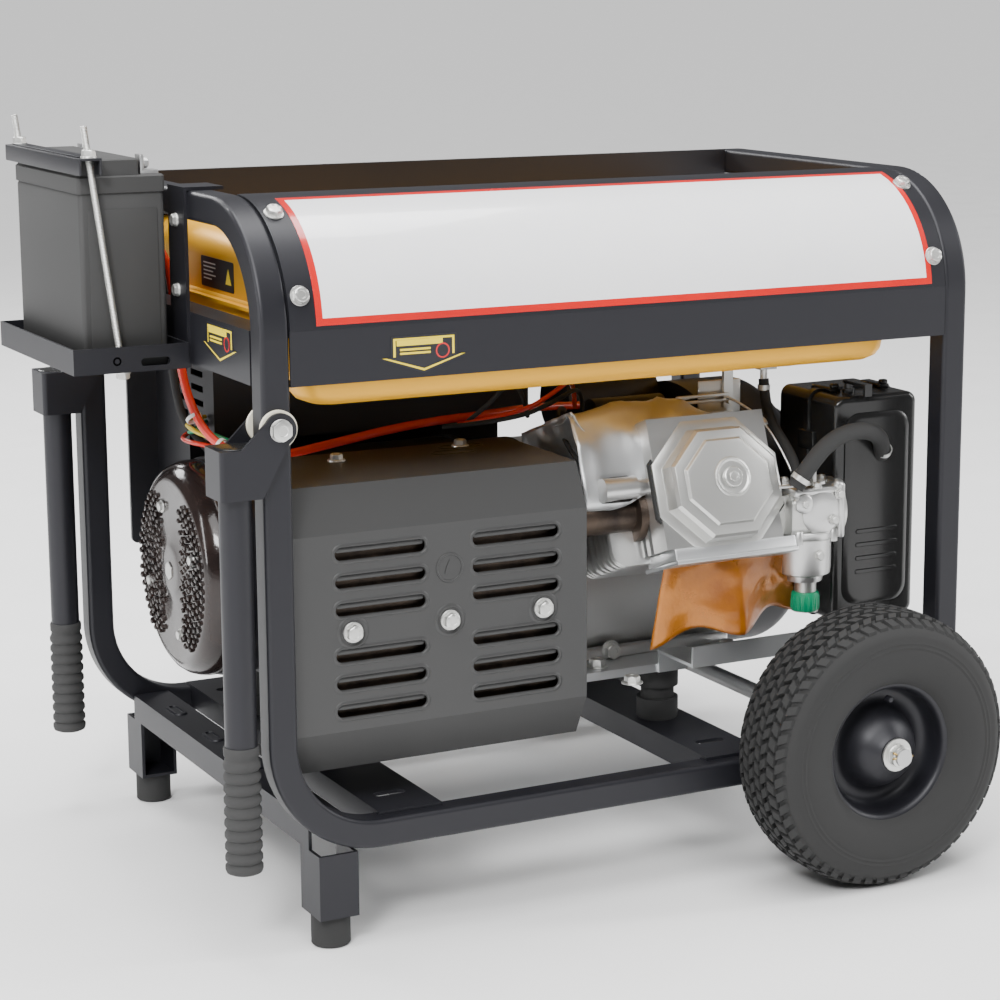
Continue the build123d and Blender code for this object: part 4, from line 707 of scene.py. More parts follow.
class WELDER_OT_engine(Operator):
    """Press the valve cover and heat shields, and add the engine's castings and fasteners."""
    bl_idname = "welder.engine"
    bl_label = "Engine"

    def crumpled(self, name, finish, corner, depth, stands_for=(), slot=None, columns=46, rows=30, thick=0.0008):
        """A thin metal sheet whose points come from corner(u, v), dented by folds of the given depth."""
        bm = bmesh.new()
        grid = []
        for j in range(rows + 1):
            line = []
            for i in range(columns + 1):
                u, v = i / columns, j / rows
                p, out = corner(u, v)
                fold = noise.noise(Vector((u * 4.6, v * 3.4, 7.3)))
                crease = 1 - abs(noise.noise(Vector((u * 5.5 + v * 2.5, v * 3.2 - u, 2.1)))) * 2.6
                p = p + out * depth * (fold * 0.9 + max(crease, 0) * 0.55)
                line.append(bm.verts.new(p))
            grid.append(line)
        for j in range(rows):
            for i in range(columns):
                bm.faces.new((grid[j][i], grid[j][i + 1], grid[j + 1][i + 1], grid[j + 1][i]))
        obj = piece(name, bm, finish, stands_for=stands_for, smooth=48)
        solid = obj.modifiers.new("sheet", "SOLIDIFY")
        solid.thickness = thick
        solid.offset = 0
        return obj

    def shroud_point(self, u, v):
        place = bore_place()
        x = -122 + 192 * u
        low_end = min(max((u - 0.6) / 0.2, 0), 1)
        bow = 17 * math.sin(math.pi * (0.14 + 0.84 * u)) ** 0.8 * (1 - low_end) - 2 * low_end
        if v < 0.55:
            up, out = 66 + bow, 118 + (v / 0.55) * 98
            way = Vector((0, 1, 0))
        else:
            t = (v - 0.55) / 0.45
            left = max(0.0, 1 - u * 1.45)
            up = 66 + bow * (1 - t) - t * (20 + 135 * left * (1 - 0.55 * left))
            out = 216 + 26 * math.sin(t * math.pi / 2) - 30 * left * t
            way = Vector((0, 0.45, 0.9))
        return put((x, up, out), place), (place.to_3x3() @ way).normalized() * (1 - 0.85 * low_end)

    def side_point(self, u, v):
        place = bore_place()
        up = 70 - 62 * v
        out = 120 + 100 * u - 22 * v * (1 - u)
        return put((-122 + 46 * v * u - 3 * math.sin(v * 3), up + 8, out), place), Vector((-1, 0, 0))

    def amber_point(self, u, v):
        place = bore_place()
        x = -54 + 138 * u - (10 - 26 * u) * v
        fold = abs(u - 0.5)
        hem = 78 - 14 * math.sin(math.pi * 2 * u) ** 2 - 40 * max(u - 0.5, 0)
        up = -66 - hem * v
        out = 236 - 70 * fold * (0.25 + v * 0.75) - 14 * v
        return put((x, up, out), place), (place.to_3x3() @ Vector((0, 0.2, 1))).normalized()

    def execute(self, context):
        depth = context.scene.welder_engine.crumple
        self.crumpled("heat_shroud", "galvanised", self.shroud_point, depth, ["heat_shields"], "galvanised")
        self.crumpled("heat_shroud_side", "galvanised", self.side_point, depth * 0.5, slot="galvanised",
                      columns=24, rows=16)
        self.crumpled("amber_heat_sheet", "amber_sheet", self.amber_point, depth * 0.22, columns=30, rows=20,
                      thick=0.0006)
        bm = bmesh.new()
        place = bore_place(2, -6, edge_of_head())
        steps = ((66, 61, 37, 0), (66, 61, 37, 2.6), (64, 59, 36, 3.6), (57.5, 52.5, 33, 4.4), (56.2, 51.2, 32, 7),
                 (55, 50, 31, 17), (52.6, 47.6, 30, 20.4), (47, 42, 27, 21.8), (44.6, 39.6, 26, 22),
                 (42.6, 37.6, 25, 24.2), (39, 34, 23, 24.9))
        loft(bm, steps, place, n=1)
        centre = place @ Matrix.Translation((0.003, 0.003, 0))
        lathe(bm, [(19, 24.8), (18, 26), (16.4, 26.4), (14.6, 25.4), (11, 25.1), (10.6, 25.1)], centre, 48)
        lathe(bm, [(9.5, 25), (9.5, 27), (8.6, 27.6), (4, 27.7)], centre, 40)
        hex_head(bm, centre, 9, 1.6, 0, 27.4)
        piece("valve_cover_pressed", bm, "zinc_steel", stands_for=["valve_cover"], smooth=22,
              bevel=1.3)
        bm = bmesh.new()
        loft(bm, [(68, 63, 38, -3.6), (68.6, 63.6, 38, -2), (68, 63, 38, 0.4)], place, n=1)
        piece("valve_cover_gasket", bm, "black_rubber")
        bm = bmesh.new()
        rng = random.Random(9)
        level = 116.0
        while level < edge_of_head() - 42:
            grow = (level - 116) * 0.12
            loft(bm, [(71 + grow, 52, 14, level), (72 + grow, 53, 15, level + 0.8), (71 + grow, 52, 14, level + 2)],
                 bore_place(-11 + rng.uniform(-1.5, 1.5), -14, 0), n=4)
            level += 8.5
        piece("cylinder_fins", bm, "cast_aluminium", smooth=40)
        bm = bmesh.new()
        head = bore_place()
        block(bm, (-56, -72, 196), (74, -60, 250), 2, head)
        block(bm, (-56, -75, 190), (74, -71, 252), 1, head)
        hex_head(bm, wall_on(head, (14, -75, 224), (0, -1, 0)), 9, 5, 7)
        piece("head_lower_strip", bm, "galvanised")
        bm = bmesh.new()
        low, high = edges_mm("crankcase")
        block(bm, (low.x + 4, low.y - 10, low.z), (high.x - 4, low.y + 1, low.z + 11), 2.5)
        for z in (30, 70, 110, 150):
            for y in (low.y + 14, high.y - 14):
                lathe(bm, [(9, -6), (9, 2), (7.5, 3)], wall((low.x, y, low.z + z), BATTERY_END), 24)
        lathe(bm, [(16, -3), (16, 7), (14, 9)], wall((high.x - 32, low.y, low.z + 40), FRONT), 36)
        piece("crankcase_ribs", bm, "cast_aluminium", smooth=40)
        bm = bmesh.new()
        hex_head(bm, wall((low.x + 44, low.y - 9, low.z + 8), FRONT), 14, 7, 10)
        hex_head(bm, wall((41, -166 - 1, 172), (0, 0, 1)), 13, 6, 10)
        for x in (low.x + 18, high.x - 18):
            for y in (low.y - 30, high.y - 2):
                hex_head(bm, wall((x, y, low.z), (0, 0, 1)), 13, 7, 10)
        base_low, base_high = edges_mm("blower_housing")
        for i in range(6):
            a = math.radians(60 * i + 20)
            at = Vector((base_high.x, CRANK.y / MM + 116 * math.cos(a), CRANK.z / MM + 116 * math.sin(a)))
            hex_head(bm, wall(at - Vector((9, 0, 0)), ENGINE_END), 10, 11, 8)
        for i in range(3):
            a = math.radians(120 * i + 50)
            at = Vector((edges_mm("recoil_starter")[1].x, CRANK.y / MM + 94 * math.cos(a), CRANK.z / MM + 94 * math.sin(a)))
            hex_head(bm, wall(at - Vector((1.5, 0, 0)), ENGINE_END), 10, 4, 7)
        piece("engine_bolts", bm, "zinc_steel")
        bm = bmesh.new()
        cap = wall((high.x - 32, low.y - 9, low.z + 40), FRONT)
        lathe(bm, [(13, 0), (13, 6), (12, 8), (5, 8.6)], cap, 30)
        block(bm, (-10, -2, 8), (10, 2, 15), 1.2, cap)
        plug = bore_place(-edge_half() - 44, 2, edge_of_head() - 20)
        lathe(bm, [(11.5, 0), (12, 12), (12, 26), (9, 34)], plug @ Matrix.Rotation(math.pi / 2, 4, "Y"), 28)
        piece("oil_cap_and_boot", bm, "gloss_black_plastic", smooth=50)
        bm = bmesh.new()
        lathe(bm, [(30, 0), (29, 3), (25, 4.5), (22, 3.4), (12, 3.4)],
              wall((edges_mm("recoil_starter")[1].x, CRANK.y / MM, CRANK.z / MM), ENGINE_END), 48)
        piece("recoil_badge", bm, "panel_black", smooth=50)
        bm = bmesh.new()
        block(bm, (140, -118, 405), (186, -115, 440), 1)
        block(bm, (120, -119, 404), (178, -116, 410), 1)
        lathe(bm, [(4, 0), (4, 3), (2.6, 3), (2.6, 9)], wall((170, -118, 420), FRONT), 24)
        for k in range(2):
            block(bm, (110, -124 - 4 * k, 420 + 6 * k), (168, -121 - 4 * k, 423 + 6 * k), 0.8)
        piece("throttle_bracket", bm, "zinc_steel")
        return {"FINISHED"}


def edge_of_head():
    """Level of the head's outer face along the bore, where the valve cover sits."""
    low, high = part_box("valve_cover")
    half = Vector((0, 53 * math.sin(TILT), 28))
    along = (CRANK.y - low.y) / MM - half.y
    return along / math.cos(TILT) - half.z


def edge_half():
    low, high = edges_mm("cylinder_head")
    return min(62.0, (high.x - low.x) / 2)


def wall_on(place, point, out):
    """A local place inside another one."""
    z = Vector(out).normalized()
    x = Vector((1, 0, 0))
    turn = Matrix((x, z.cross(x), z)).transposed().to_4x4()
    return place @ Matrix.Translation(Vector(point) * MM) @ turn


class WELDER_OT_intake(Operator):
    """Add the carburettor's screws, bowl rim and green cap, and the air cleaner's clips and ribs."""
    bl_idname = "welder.intake"
    bl_label = "Carburettor and air cleaner"

    def execute(self, context):
        low, high = edges_mm("carburettor")
        x, y = 209, -197
        place = Matrix.Translation(put((x, y, 0)))
        bm = bmesh.new()
        lathe(bm, [(26.4, 300), (27, 301), (27, 306), (26, 307), (24, 307)], place, 48)
        lathe(bm, [(20, 264), (24.5, 266), (25.4, 272), (25.4, 299), (22, 300)], place, 48)
        lathe(bm, [(17, 258), (18, 261), (18, 266)], place, 40)
        for i in range(4):
            a = math.radians(45 + 90 * i)
            at = wall((x + 27 * math.cos(a), y + 27 * math.sin(a), 300), (0, 0, 1))
            lathe(bm, [(4.4, -3), (4.4, 8), (3.6, 9)], at, 20)
        lathe(bm, [(21, 0), (21, 3), (19, 4), (8, 4)], wall((x + 4, y - 20, 326), FRONT), 40)
        lathe(bm, [(9, 0), (9, 8), (7, 9)], wall((x - 17, y - 18, 336), FRONT), 28)
        lathe(bm, [(5, 0), (5, 16), (3.6, 17)], wall((x + 20, y - 14, 340), (0.2, -0.5, 0.8)), 24)
        block(bm, (x - 26, y - 24, 342), (x + 26, y + 14, 350), 3)
        block(bm, (x + 22, y - 26, 300), (x + 29, y + 30, 352), 6)
        piece("carburettor_casting", bm, "cast_aluminium", smooth=40)
        bm = bmesh.new()
        for dx, z in ((-17, 336), (16, 318), (22, 342)):
            hex_head(bm, wall((x + dx, y - 24, z), FRONT), 7, 4, 5)
        hex_head(bm, wall((x, y - 24, 286), FRONT), 8, 5, 6)
        for i in range(3):
            a = math.radians(120 * i + 20)
            hex_head(bm, wall((x + 22 * math.cos(a), y - 4 + 22 * math.sin(a), 350), (0, 0, 1)), 7, 4, 5)
        place_s = Matrix.Translation(put((x + 2, y, 0)))
        lathe(bm, [(10.4, 247), (10.4, 262), (13, 262.5), (13, 264.5), (8, 265)], place_s, 36)
        block(bm, (x - 44, y - 22, 352), (x + 8, y - 19, 355), 0.8)
        block(bm, (x - 6, y - 22, 344), (x - 2, y - 18, 366), 0.8)
        piece("carburettor_screws", bm, "zinc_steel")
        bm = bmesh.new()
        lathe(bm, [(8, 227.6), (11.6, 227.8), (13, 229.2), (13.2, 244), (12.4, 246.4), (8, 246.8)], place_s, 40)
        for i in range(20):
            a = 2 * math.pi * i / 20
            at = Vector((x + 2 + 13 * math.cos(a), y + 13 * math.sin(a), 230))
            block(bm, at - Vector((0.6, 0.6, 0)), at + Vector((0.6, 0.6, 13)), 0.4)
        piece("solenoid_cap", bm, "cap_green", smooth=50)
        low, high = edges_mm("air_cleaner")
        bm = bmesh.new()
        middle_y = (low.y + high.y) / 2
        skirt = [(high.x - low.x) / 2 + 2.2, (high.z - low.z) / 2 + 2.2]
        face = wall(((low.x + high.x) / 2, middle_y, (low.z + high.z) / 2), FRONT)
        loft(bm, [(skirt[0] - 2.5, skirt[1] - 2.5, 10, -4), (skirt[0], skirt[1], 12, -3.4), (skirt[0], skirt[1], 12, 3.4),
                  (skirt[0] - 2.5, skirt[1] - 2.5, 10, 4)], face, n=6, close=True)
        front = wall(((low.x + high.x) / 2, low.y, (low.z + high.z) / 2), FRONT)
        loft(bm, [(36, 92, 16, -1), (36, 92, 16, 1.2), (33, 89, 14, 2.6), (30, 86, 12, 2.8)], front, n=6)
        for k in range(4):
            loft(bm, [(24, 2.4, 2.4, 2.5), (23, 1.6, 1.6, 4)], front @ Matrix.Translation((0, (-60 + 13 * k) * MM, 0)), n=4)
        for z in (low.z + 46, high.z - 46):
            block(bm, (low.x - 3, middle_y - 13, z - 9), (low.x + 1, middle_y + 13, z + 9), 1.4)
        for dx in (14, 70):
            block(bm, (low.x + dx, middle_y - 17, high.z - 1), (low.x + dx + 12, middle_y + 17, high.z + 4), 1.6)
            block(bm, (low.x + dx + 2, middle_y - 17, high.z + 3), (low.x + dx + 10, middle_y - 11, high.z + 8), 1.4)
        block(bm, (low.x + 22, low.y + 10, high.z - 1), (low.x + 58, low.y + 38, high.z + 0.2), 0.5)
        piece("air_cleaner_shell", bm, "gloss_black_plastic", smooth=50, bevel=0.5)
        return {"FINISHED"}


class WELDER_OT_alternator(Operator):
    """Turn the alternator's studded end cover, its bands and its through bolts."""
    bl_idname = "welder.alternator"
    bl_label = "Alternator"

    def execute(self, context):
        low, high = edges_mm("end_cover")
        deep = high.x - low.x
        place = wall((high.x, CRANK.y / MM, CRANK.z / MM), BATTERY_END)
        bm = bmesh.new()
        lathe(bm, [(94, 0.3), (99.6, 0.3), (100, 1.5), (100, 7), (99, 13), (96.5, 20), (92, 26), (86.5, 29.5),
                   (82, 30.6), (78, 30), (30, 30.8), (24, 32.4), (18, 33), (2, 33)], place, 96)
        rng = random.Random(4)
        spacing = context.scene.welder_engine.studs / MM
        r = 29.0
        while r < 86:
            count = int(2 * math.pi * r / spacing)
            for i in range(count):
                a = 2 * math.pi * (i + 0.5 * (int(r) % 2)) / count
                tall = 32.6 + rng.random() * (deep - 33.2)
                size = 2.3 + rng.random() * 0.9
                across, along = r * math.cos(a), r * math.sin(a)
                if 26 < abs(across) and abs(along) < 66:
                    spot = place @ Matrix.Translation((across * MM, along * MM, 0))
                    lathe(bm, [(size, 28.6), (size, tall - 0.8), (size * 0.55, tall)], spot, 7)
            r += spacing * 0.93
        piece("alternator_cover", bm, "cover_brown", stands_for=["end_cover"], smooth=40)
        bm = bmesh.new()
        for degrees in (20, 110, 200, 290):
            a = math.radians(degrees)
            spot = place @ Matrix.Translation((60 * MM * math.cos(a), 60 * MM * math.sin(a), 0))
            hex_head(bm, spot, 8, 3, 6, 30.6)
        hex_head(bm, place, 15, 1.4, 0, 33)
        piece("alternator_cover_bolts", bm, "zinc_steel")
        shell_low, shell_high = edges_mm("alternator_housing")
        bm = bmesh.new()
        for x, w in ((high.x + 6, 7), (high.x + 60, 4), (-50, 8)):
            lathe(bm, [(99.8, 0), (101.5, 0.6), (101.5, w - 0.6), (99.8, w)],
                  wall((x + w, CRANK.y / MM, CRANK.z / MM), BATTERY_END), 96, True)
        piece("alternator_bands", bm, "frame_black", smooth=50)
        return {"FINISHED"}


class WELDER_OT_hoses(Operator):
    """Lay the fuel and breather hoses, the battery cables and the wires, and close their clips."""
    bl_idname = "welder.hoses"
    bl_label = "Hoses and wires"

    def execute(self, context):
        fuel = [(210, -121, 438), (210.5, -123, 418), (209, -138, 397), (212, -160, 378), (210, -180, 362),
                (208, -184, 344)]
        cable("fuel_hose", fuel, 5.0, "black_rubber", stands_for=["hoses"])
        breather = [(179, -226, 354), (190, -231, 374), (216, -230, 397), (252, -224, 402), (284, -216, 390),
                    (292, -200, 370)]
        cable("breather_hose", breather, 8.0, "black_rubber")
        red = [(-357, 60, 638), (-357, 60, 612), (-343, 58, 588), (-321, 54, 570), (-317, 46, 532),
               (-318, 37, 486), (-316, 22, 442), (-310, -8, 410), (-295, -42, 396), (-265, -60, 394),
               (-207, -52, 400), (-147, -40, 406), (-87, -26, 408), (-27, -8, 406), (33, 16, 405), (96, 40, 398)]
        cable("battery_cable_red", red, 4.0, "cable_red", stands_for=["battery_cables"])
        black = [(-357, 76, 638), (-357, 75, 610), (-343, 72, 587), (-321, 68, 569), (-317, 63, 532),
                 (-318, 58, 486), (-316, 52, 442), (-309, 48, 410), (-289, 40, 386)]
        cable("battery_cable_black", black, 4.0, "black_rubber")
        runs = (
            ("green", "cap_green", [(-272, 92, 404), (-292, 76, 400), (-308, 44, 404), (-304, 14, 412), (-268, -4, 392)]),
            ("yellow", "wire_yellow", [(-272, 96, 408), (-296, 74, 410), (-312, 38, 412), (-306, 6, 406), (-262, -14, 390)]),
            ("red", "cable_red", [(-272, 100, 400), (-300, 78, 396), (-314, 42, 398), (-308, 8, 398), (-256, -20, 388)]),
            ("loop_dark", "black_rubber", [(-60, -20, 400), (-52, -60, 424), (-38, -70, 446), (-18, -62, 438), (4, -30, 405)]),
            ("loop_red", "cable_red", [(-66, -24, 402), (-30, -76, 416), (6, -84, 436), (38, -60, 446), (60, -20, 408)]),
            ("loop_black", "black_rubber", [(-80, -20, 400), (-36, -82, 412), (4, -92, 430), (42, -70, 438), (66, -24, 404)]),
            ("plug_lead", "black_rubber", [(20, -170, 366), (-4, -160, 374), (-8, -120, 400), (20, -60, 420), (60, 0, 402)]),
            ("throttle_link", "zinc_steel", [(112, -123, 424), (140, -127, 430), (168, -124, 426), (200, -150, 400),
                                             (206, -180, 356)]),
        )
        for name, finish, points in runs:
            cable("wire_" + name, points, 2.2 if finish != "zinc_steel" else 1.2, finish)
        bm = bmesh.new()
        for at, way, r in (((-314, 10, 423), (0.2, -0.6, -0.7), 6.4), ((-302, -24, 402), (0.5, -0.8, -0.35), 6.0)):
            lathe(bm, [(r, -1.6), (r + 1.1, -1.6), (r + 1.1, 1.6), (r, 1.6)], wall(at, way), 24, True)
        piece("cable_ties", bm, "mark_white")
        bm = bmesh.new()
        for at, way, r in (((210, -121.5, 430), (0, 0, 1), 5), ((208.5, -183, 352), (0, -0.1, 1), 5),
                           ((183, -228.5, 362), (0.5, -0.2, 0.8), 8), ((291, -204, 376), (0.1, 0.6, -0.7), 8)):
            lathe(bm, [(r, -2.4), (r + 1, -2.4), (r + 1, 2.4), (r, 2.4)], wall(at, way), 28, True)
        piece("hose_clips", bm, "zinc_steel")
        return {"FINISHED"}


class WELDER_OT_battery(Operator):
    """Mould the battery, press its clamp bar and cut the threads of its two rods."""
    bl_idname = "welder.battery"
    bl_label = "Battery"

    def execute(self, context):
        low, high = edges_mm("battery")
        cx, cy = (low.x + high.x) / 2, (low.y + high.y) / 2
        hx, hy = (high.x - low.x) / 2, (high.y - low.y) / 2
        z0, z1 = low.z, low.z + 163
        place = Matrix.Translation(put((cx, cy, 0)))
        bm = bmesh.new()
        loft(bm, [(hx - 2, hy - 2, 3, z0), (hx - 1, hy - 1, 4, z0 + 1.5), (hx - 1, hy - 1, 4, z1 - 17),
                  (hx - 1.6, hy - 1.6, 4, z1 - 16), (hx - 1.6, hy - 1.6, 4, z1 - 15), (hx, hy, 4, z1 - 14.4),
                  (hx, hy, 4, z1 - 1.4), (hx - 1.4, hy - 1.4, 3, z1)], place)
        loft(bm, [(hx - 12, hy - 2.2, 3, z1 - 1), (hx - 12, hy - 2.2, 3, z1 + 12.6), (hx - 13.4, hy - 3.6, 2, z1 + 13.9)],
             place @ Matrix.Translation((-10 * MM, 0, 0)))
        for side in (-1, 1):
            x = cx
            y = cy + side * (hy - 0.8)
            block(bm, (x - hx + 8, min(y, y + side * 0.7), z0 + 14), (x + hx - 8, max(y, y + side * 0.7), z1 - 28), 0.3)
        piece("battery_moulding", bm, "battery_case", stands_for=["battery"], smooth=40)
        bm = bmesh.new()
        for y in (cy - hy + 12, cy + hy - 12):
            block(bm, (high.x - 20, y - 7, z1 - 0.5), (high.x - 4, y + 7, z1 + 3.6), 0.6)
            block(bm, (high.x - 20, y - 7, z1 + 3), (high.x - 16.6, y + 7, z1 + 16.6), 0.6)
            hex_head(bm, wall((high.x - 16.6, y, z1 + 9), ENGINE_END), 8, 4, 5)
        piece("battery_lugs", bm, "machined_steel")
        hold_low, hold_high = edges_mm("battery_hold_down")
        top = high.z if high.z < 665 else z1 + 14
        bm = bmesh.new()
        y0, y1, x0 = hold_low.y + 1, hold_high.y - 1, low.x - 3
        block(bm, (x0, y0, top), (x0 + 20, y1, top + 2.2), 0.7)
        block(bm, (x0, y0, top - 12), (x0 + 2.2, y1, top + 1.5), 0.7)
        block(bm, (x0 + 17.8, y0, top - 12), (x0 + 20, cy - hy - 1, top + 1.5), 0.7)
        block(bm, (x0 + 3, y0 + 14, top + 2), (x0 + 16, y1 - 14, top + 3.4), 0.9)
        piece("clamp_bar", bm, "panel_black", stands_for=["battery_hold_down"])
        bm = bmesh.new()
        tray_low, tray_high = edges_mm("battery_tray")
        foot_z = tray_low.z
        for y in (cy - hy - 8, cy + hy + 8):
            head, foot = Vector((low.x + 8, y, top)), Vector((low.x + 31, y, foot_z))
            way = (head - foot).normalized()
            thread(bm, wall(head - way * 187, way), 3, 0, 216)
            hex_head(bm, wall(head + Vector((0, 0, 2.2)), (0, 0, 1)), 10.5, 5.5, 7)
            hex_head(bm, wall(foot + Vector((0, 0, 0)), (0, 0, -1)), 10.5, 5, 7)
        hex_head(bm, wall((tray_low.x + 38, tray_low.y + 1, foot_z + 10), FRONT), 8, 1.0, 0)
        for y in (cy - hy - 8 + 15, cy + hy + 8 - 13):
            for z in (550, 610):
                hex_head(bm, wall((tray_high.x * 0 - 353, y, z), BATTERY_END), 9, 3.4, 6)
        piece("hold_down_rods", bm, "zinc_steel", smooth=30)
        return {"FINISHED"}


class WELDER_OT_panel(Operator):
    """Fit the control panel with its meter, sockets, terminals, dial marks and screws."""
    bl_idname = "welder.panel"
    bl_label = "Control panel"

    def execute(self, context):
        low, high = edges_mm("control_panel")
        face = low.y + 4

        def on(x, z):
            return wall((x, face, z), BACK)

        bm = bmesh.new()
        loft(bm, [(198, 109, 8, -1), (198, 109, 8, 0.5), (194, 105, 6, 0.5), (194, 105, 6, -1)],
             on((-300 + 100) / 2, (262 + 484) / 2), n=5, close=True)
        for x, z in ((-240, 305), (-170, 305)):
            place = on(x, z)
            lathe(bm, [(24, 0), (24, 2.5), (21.5, 3.5), (20.4, 3.5)], place, 44, True)
        for x in (-80, -10):
            place = on(x, 330)
            loft(bm, [(30, 30, 7, 0), (30, 30, 7, 2), (28, 28, 6, 3), (27.6, 27.6, 6, 0)], place, n=5, close=True)
            lathe(bm, [(20.8, 0.5), (20.8, 3), (19, 3.4), (2, 3.4)], place, 44)
        piece("panel_bezels", bm, "gloss_black_plastic", smooth=45)
        bm = bmesh.new()
        for x, z in ((-286, 276), (86, 276), (-286, 470), (86, 470)):
            hex_head(bm, on(x, z), 8, 3, 6)
        for x, z in ((-240, 305), (-170, 305)):
            lathe(bm, [(6.6, 3), (9.5, 3), (9.5, 20), (6.6, 20)], on(x, z), 32, True)
        for x in (-80, -10):
            for dx in (-8, 8):
                lathe(bm, [(2.4, 3.2), (2.4, 3.8), (1, 3.8)], on(x + dx, 330), 16)
        lathe(bm, [(8.4, 0), (8.4, 3.4), (6.5, 4), (3, 4)], on(-286 + 330, 305), 28)
        hex_head(bm, on(44, 305), 10, 8, 7, 3.6)
        piece("panel_metal", bm, "zinc_steel")
        bm = bmesh.new()
        knob = Vector(JOINTS["current_turn"]["pos_m"])
        dial = on((knob.x - MIDDLE_X) / MM, knob.z / MM)
        for i in range(13):
            a = math.radians(-135 + i * 22.5)
            long = 5 if i % 3 == 0 else 3
            tick = dial @ Matrix.Rotation(-a, 4, "Z")
            plate(bm, [(-0.6, 24), (0.6, 24), (0.6, 24 + long), (-0.6, 24 + long)], tick, 0.05, 0.35)
        meter = on(-60, 422)
        plate(bm, outline(0, 0, 24, 21, 2, 3), meter, 6.05, 6.4)
        for x, z, w in ((-205, 340, 44), (-45, 372, 52), (30, 402, 24), (30, 345, 24)):
            plate(bm, outline(0, 0, w, 0.5, 0.3, 2), on(x, z), 0.05, 0.3)
        piece("panel_marks", bm, "mark_white")
        bm = bmesh.new()
        for i in range(9):
            tick = meter @ Matrix.Translation((0, -0.012, 0)) @ Matrix.Rotation(math.radians(56 - 14 * i), 4, "Z")
            plate(bm, [(-0.35, 24), (0.35, 24), (0.35, 27.5), (-0.35, 27.5)], tick, 6.4, 6.6)
        needle = meter @ Matrix.Translation((0, -0.012, 0)) @ Matrix.Rotation(math.radians(40), 4, "Z")
        plate(bm, [(-0.6, 0), (0.6, 0), (0.3, 26), (-0.3, 26)], needle, 6.7, 7.1)
        block(bm, (-24, -20, 5.9), (24, -12, 7.6), 0.8, meter)
        piece("meter_scale", bm, "panel_black")
        bm = bmesh.new()
        for x, z, finish in ((-170, 305, 0),):
            lathe(bm, [(20.4, 3.5), (22, 3.5), (22, 8), (20.4, 9)], on(x, z), 44, True)
        block(bm, (-14, -20, 0), (14, 20, 4), 1.5, on(70, 400))
        block(bm, (-6, -10, 4), (6, 10, 9), 1.2, on(70, 400))
        piece("panel_red_parts", bm, "red_plastic", smooth=45)
        return {"FINISHED"}


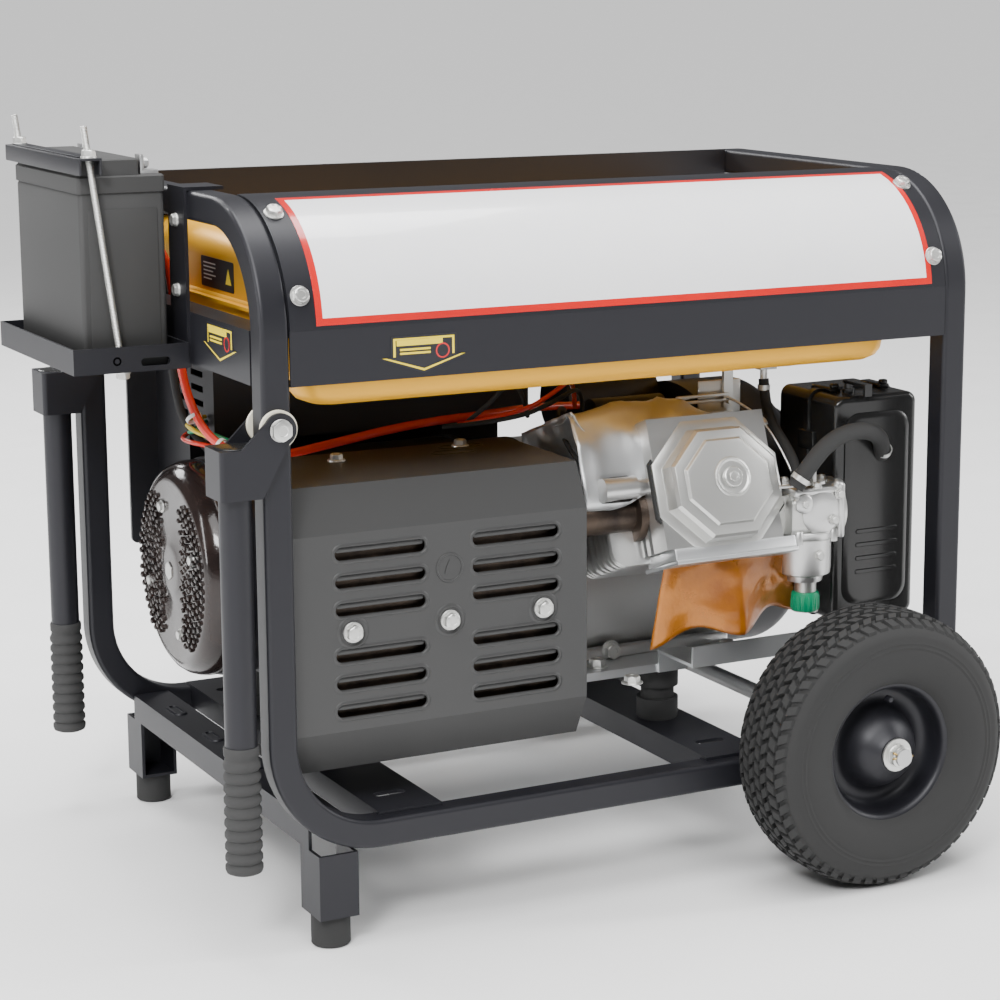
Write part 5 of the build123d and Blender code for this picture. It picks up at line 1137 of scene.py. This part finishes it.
class WELDER_OT_stage(Operator):
    """Lay the floor, hang the soft lights and set the camera."""
    bl_idname = "welder.stage"
    bl_label = "Stage"

    def soft_light(self, name, place, size, power, aim=(0.0, 0.0, 0.35)):
        lamp = bpy.data.lights.new(name, "AREA")
        lamp.shape = "RECTANGLE"
        lamp.size, lamp.size_y = size
        lamp.energy = power
        obj = bpy.data.objects.new(name, lamp)
        obj.location = place
        obj.rotation_euler = (Vector(aim) - Vector(place)).to_track_quat("-Z", "Y").to_euler()
        bpy.context.scene.collection.objects.link(obj)

    def execute(self, context):
        stage = context.scene.welder_stage
        finish = make_finish("floor_pale", tuple(stage.floor), tuple(stage.floor), 0.6, grain=40, depth=0.01)
        bpy.ops.mesh.primitive_grid_add(x_subdivisions=8, y_subdivisions=8, size=400, location=(0, 0, -0.0005))
        floor = context.object
        floor.name = "floor"
        floor.data.materials.append(finish)
        world = bpy.data.worlds.new("soft_room")
        world.use_nodes = True
        back = world.node_tree.nodes["Background"]
        back.inputs["Color"].default_value = (1, 1, 1, 1)
        back.inputs["Strength"].default_value = stage.sky
        context.scene.world = world
        sun = bpy.data.lights.new("wide_sun", "SUN")
        sun.energy = stage.sun
        sun.angle = math.radians(50)
        high = bpy.data.objects.new("wide_sun", sun)
        high.rotation_euler = (math.radians(24), math.radians(-14), 0)
        context.scene.collection.objects.link(high)
        key = stage.key
        self.soft_light("key", (-2.3, -2.6, 2.6), (0.9, 0.7), key)
        self.soft_light("side", (3.0, -1.3, 1.6), (0.35, 1.9), key * 0.5)
        self.soft_light("strip", (-3.2, 0.3, 1.2), (0.3, 1.9), key * 0.35)
        self.soft_light("top", (0.1, 0.4, 3.4), (2.4, 1.4), key * 1.1)
        self.soft_light("rear", (-1.0, 3.4, 2.2), (2.0, 1.0), key * 0.7)
        lens = bpy.data.cameras.new("camera")
        lens.lens = stage.lens
        lens.sensor_width = 36.0
        lens.shift_x, lens.shift_y = -0.083, -0.0056
        lens.clip_start, lens.clip_end = 0.05, 200
        camera = bpy.data.objects.new("camera", lens)
        camera.location = (-1.0581, -2.1893, 0.8192)
        turn, down = math.radians(28.54), math.radians(11.4)
        look = Vector((math.sin(turn) * math.cos(down), math.cos(turn) * math.cos(down), -math.sin(down)))
        camera.rotation_euler = look.to_track_quat("-Z", "Y").to_euler()
        context.scene.collection.objects.link(camera)
        context.scene.camera = camera
        return {"FINISHED"}


STEPS = (WELDER_OT_stage, WELDER_OT_finishes, WELDER_OT_frame, WELDER_OT_guard, WELDER_OT_wheels,
         WELDER_OT_handles, WELDER_OT_tank, WELDER_OT_engine, WELDER_OT_intake, WELDER_OT_alternator,
         WELDER_OT_hoses, WELDER_OT_battery, WELDER_OT_panel)


class WELDER_PT_panel(Panel):
    """Lists the steps that build the welding set."""
    bl_idname = "WELDER_PT_panel"
    bl_label = "Engine Driven Welder"
    bl_space_type = "VIEW_3D"
    bl_region_type = "UI"
    bl_category = "Welder"

    def draw(self, context):
        for group, names in SETTINGS:
            box = self.layout.box()
            for name in group.__annotations__:
                box.prop(getattr(context.scene, names), name)
        for step in STEPS:
            self.layout.operator(step.bl_idname)


SETTINGS = ((FrameSettings, "welder_frame"), (EngineSettings, "welder_engine"),
            (WheelSettings, "welder_wheels"), (StageSettings, "welder_stage"))


def register():
    for group, name in SETTINGS:
        bpy.utils.register_class(group)
        setattr(bpy.types.Scene, name, PointerProperty(type=group))
    for step in (*STEPS, WELDER_PT_panel):
        bpy.utils.register_class(step)


def unregister():
    for step in reversed((*STEPS, WELDER_PT_panel)):
        bpy.utils.unregister_class(step)
    for group, name in reversed(SETTINGS):
        delattr(bpy.types.Scene, name)
        bpy.utils.unregister_class(group)


def main():
    register()
    for step in STEPS:
        family, name = step.bl_idname.split(".")
        getattr(getattr(bpy.ops, family), name)()


if __name__ == "__main__":
    main()
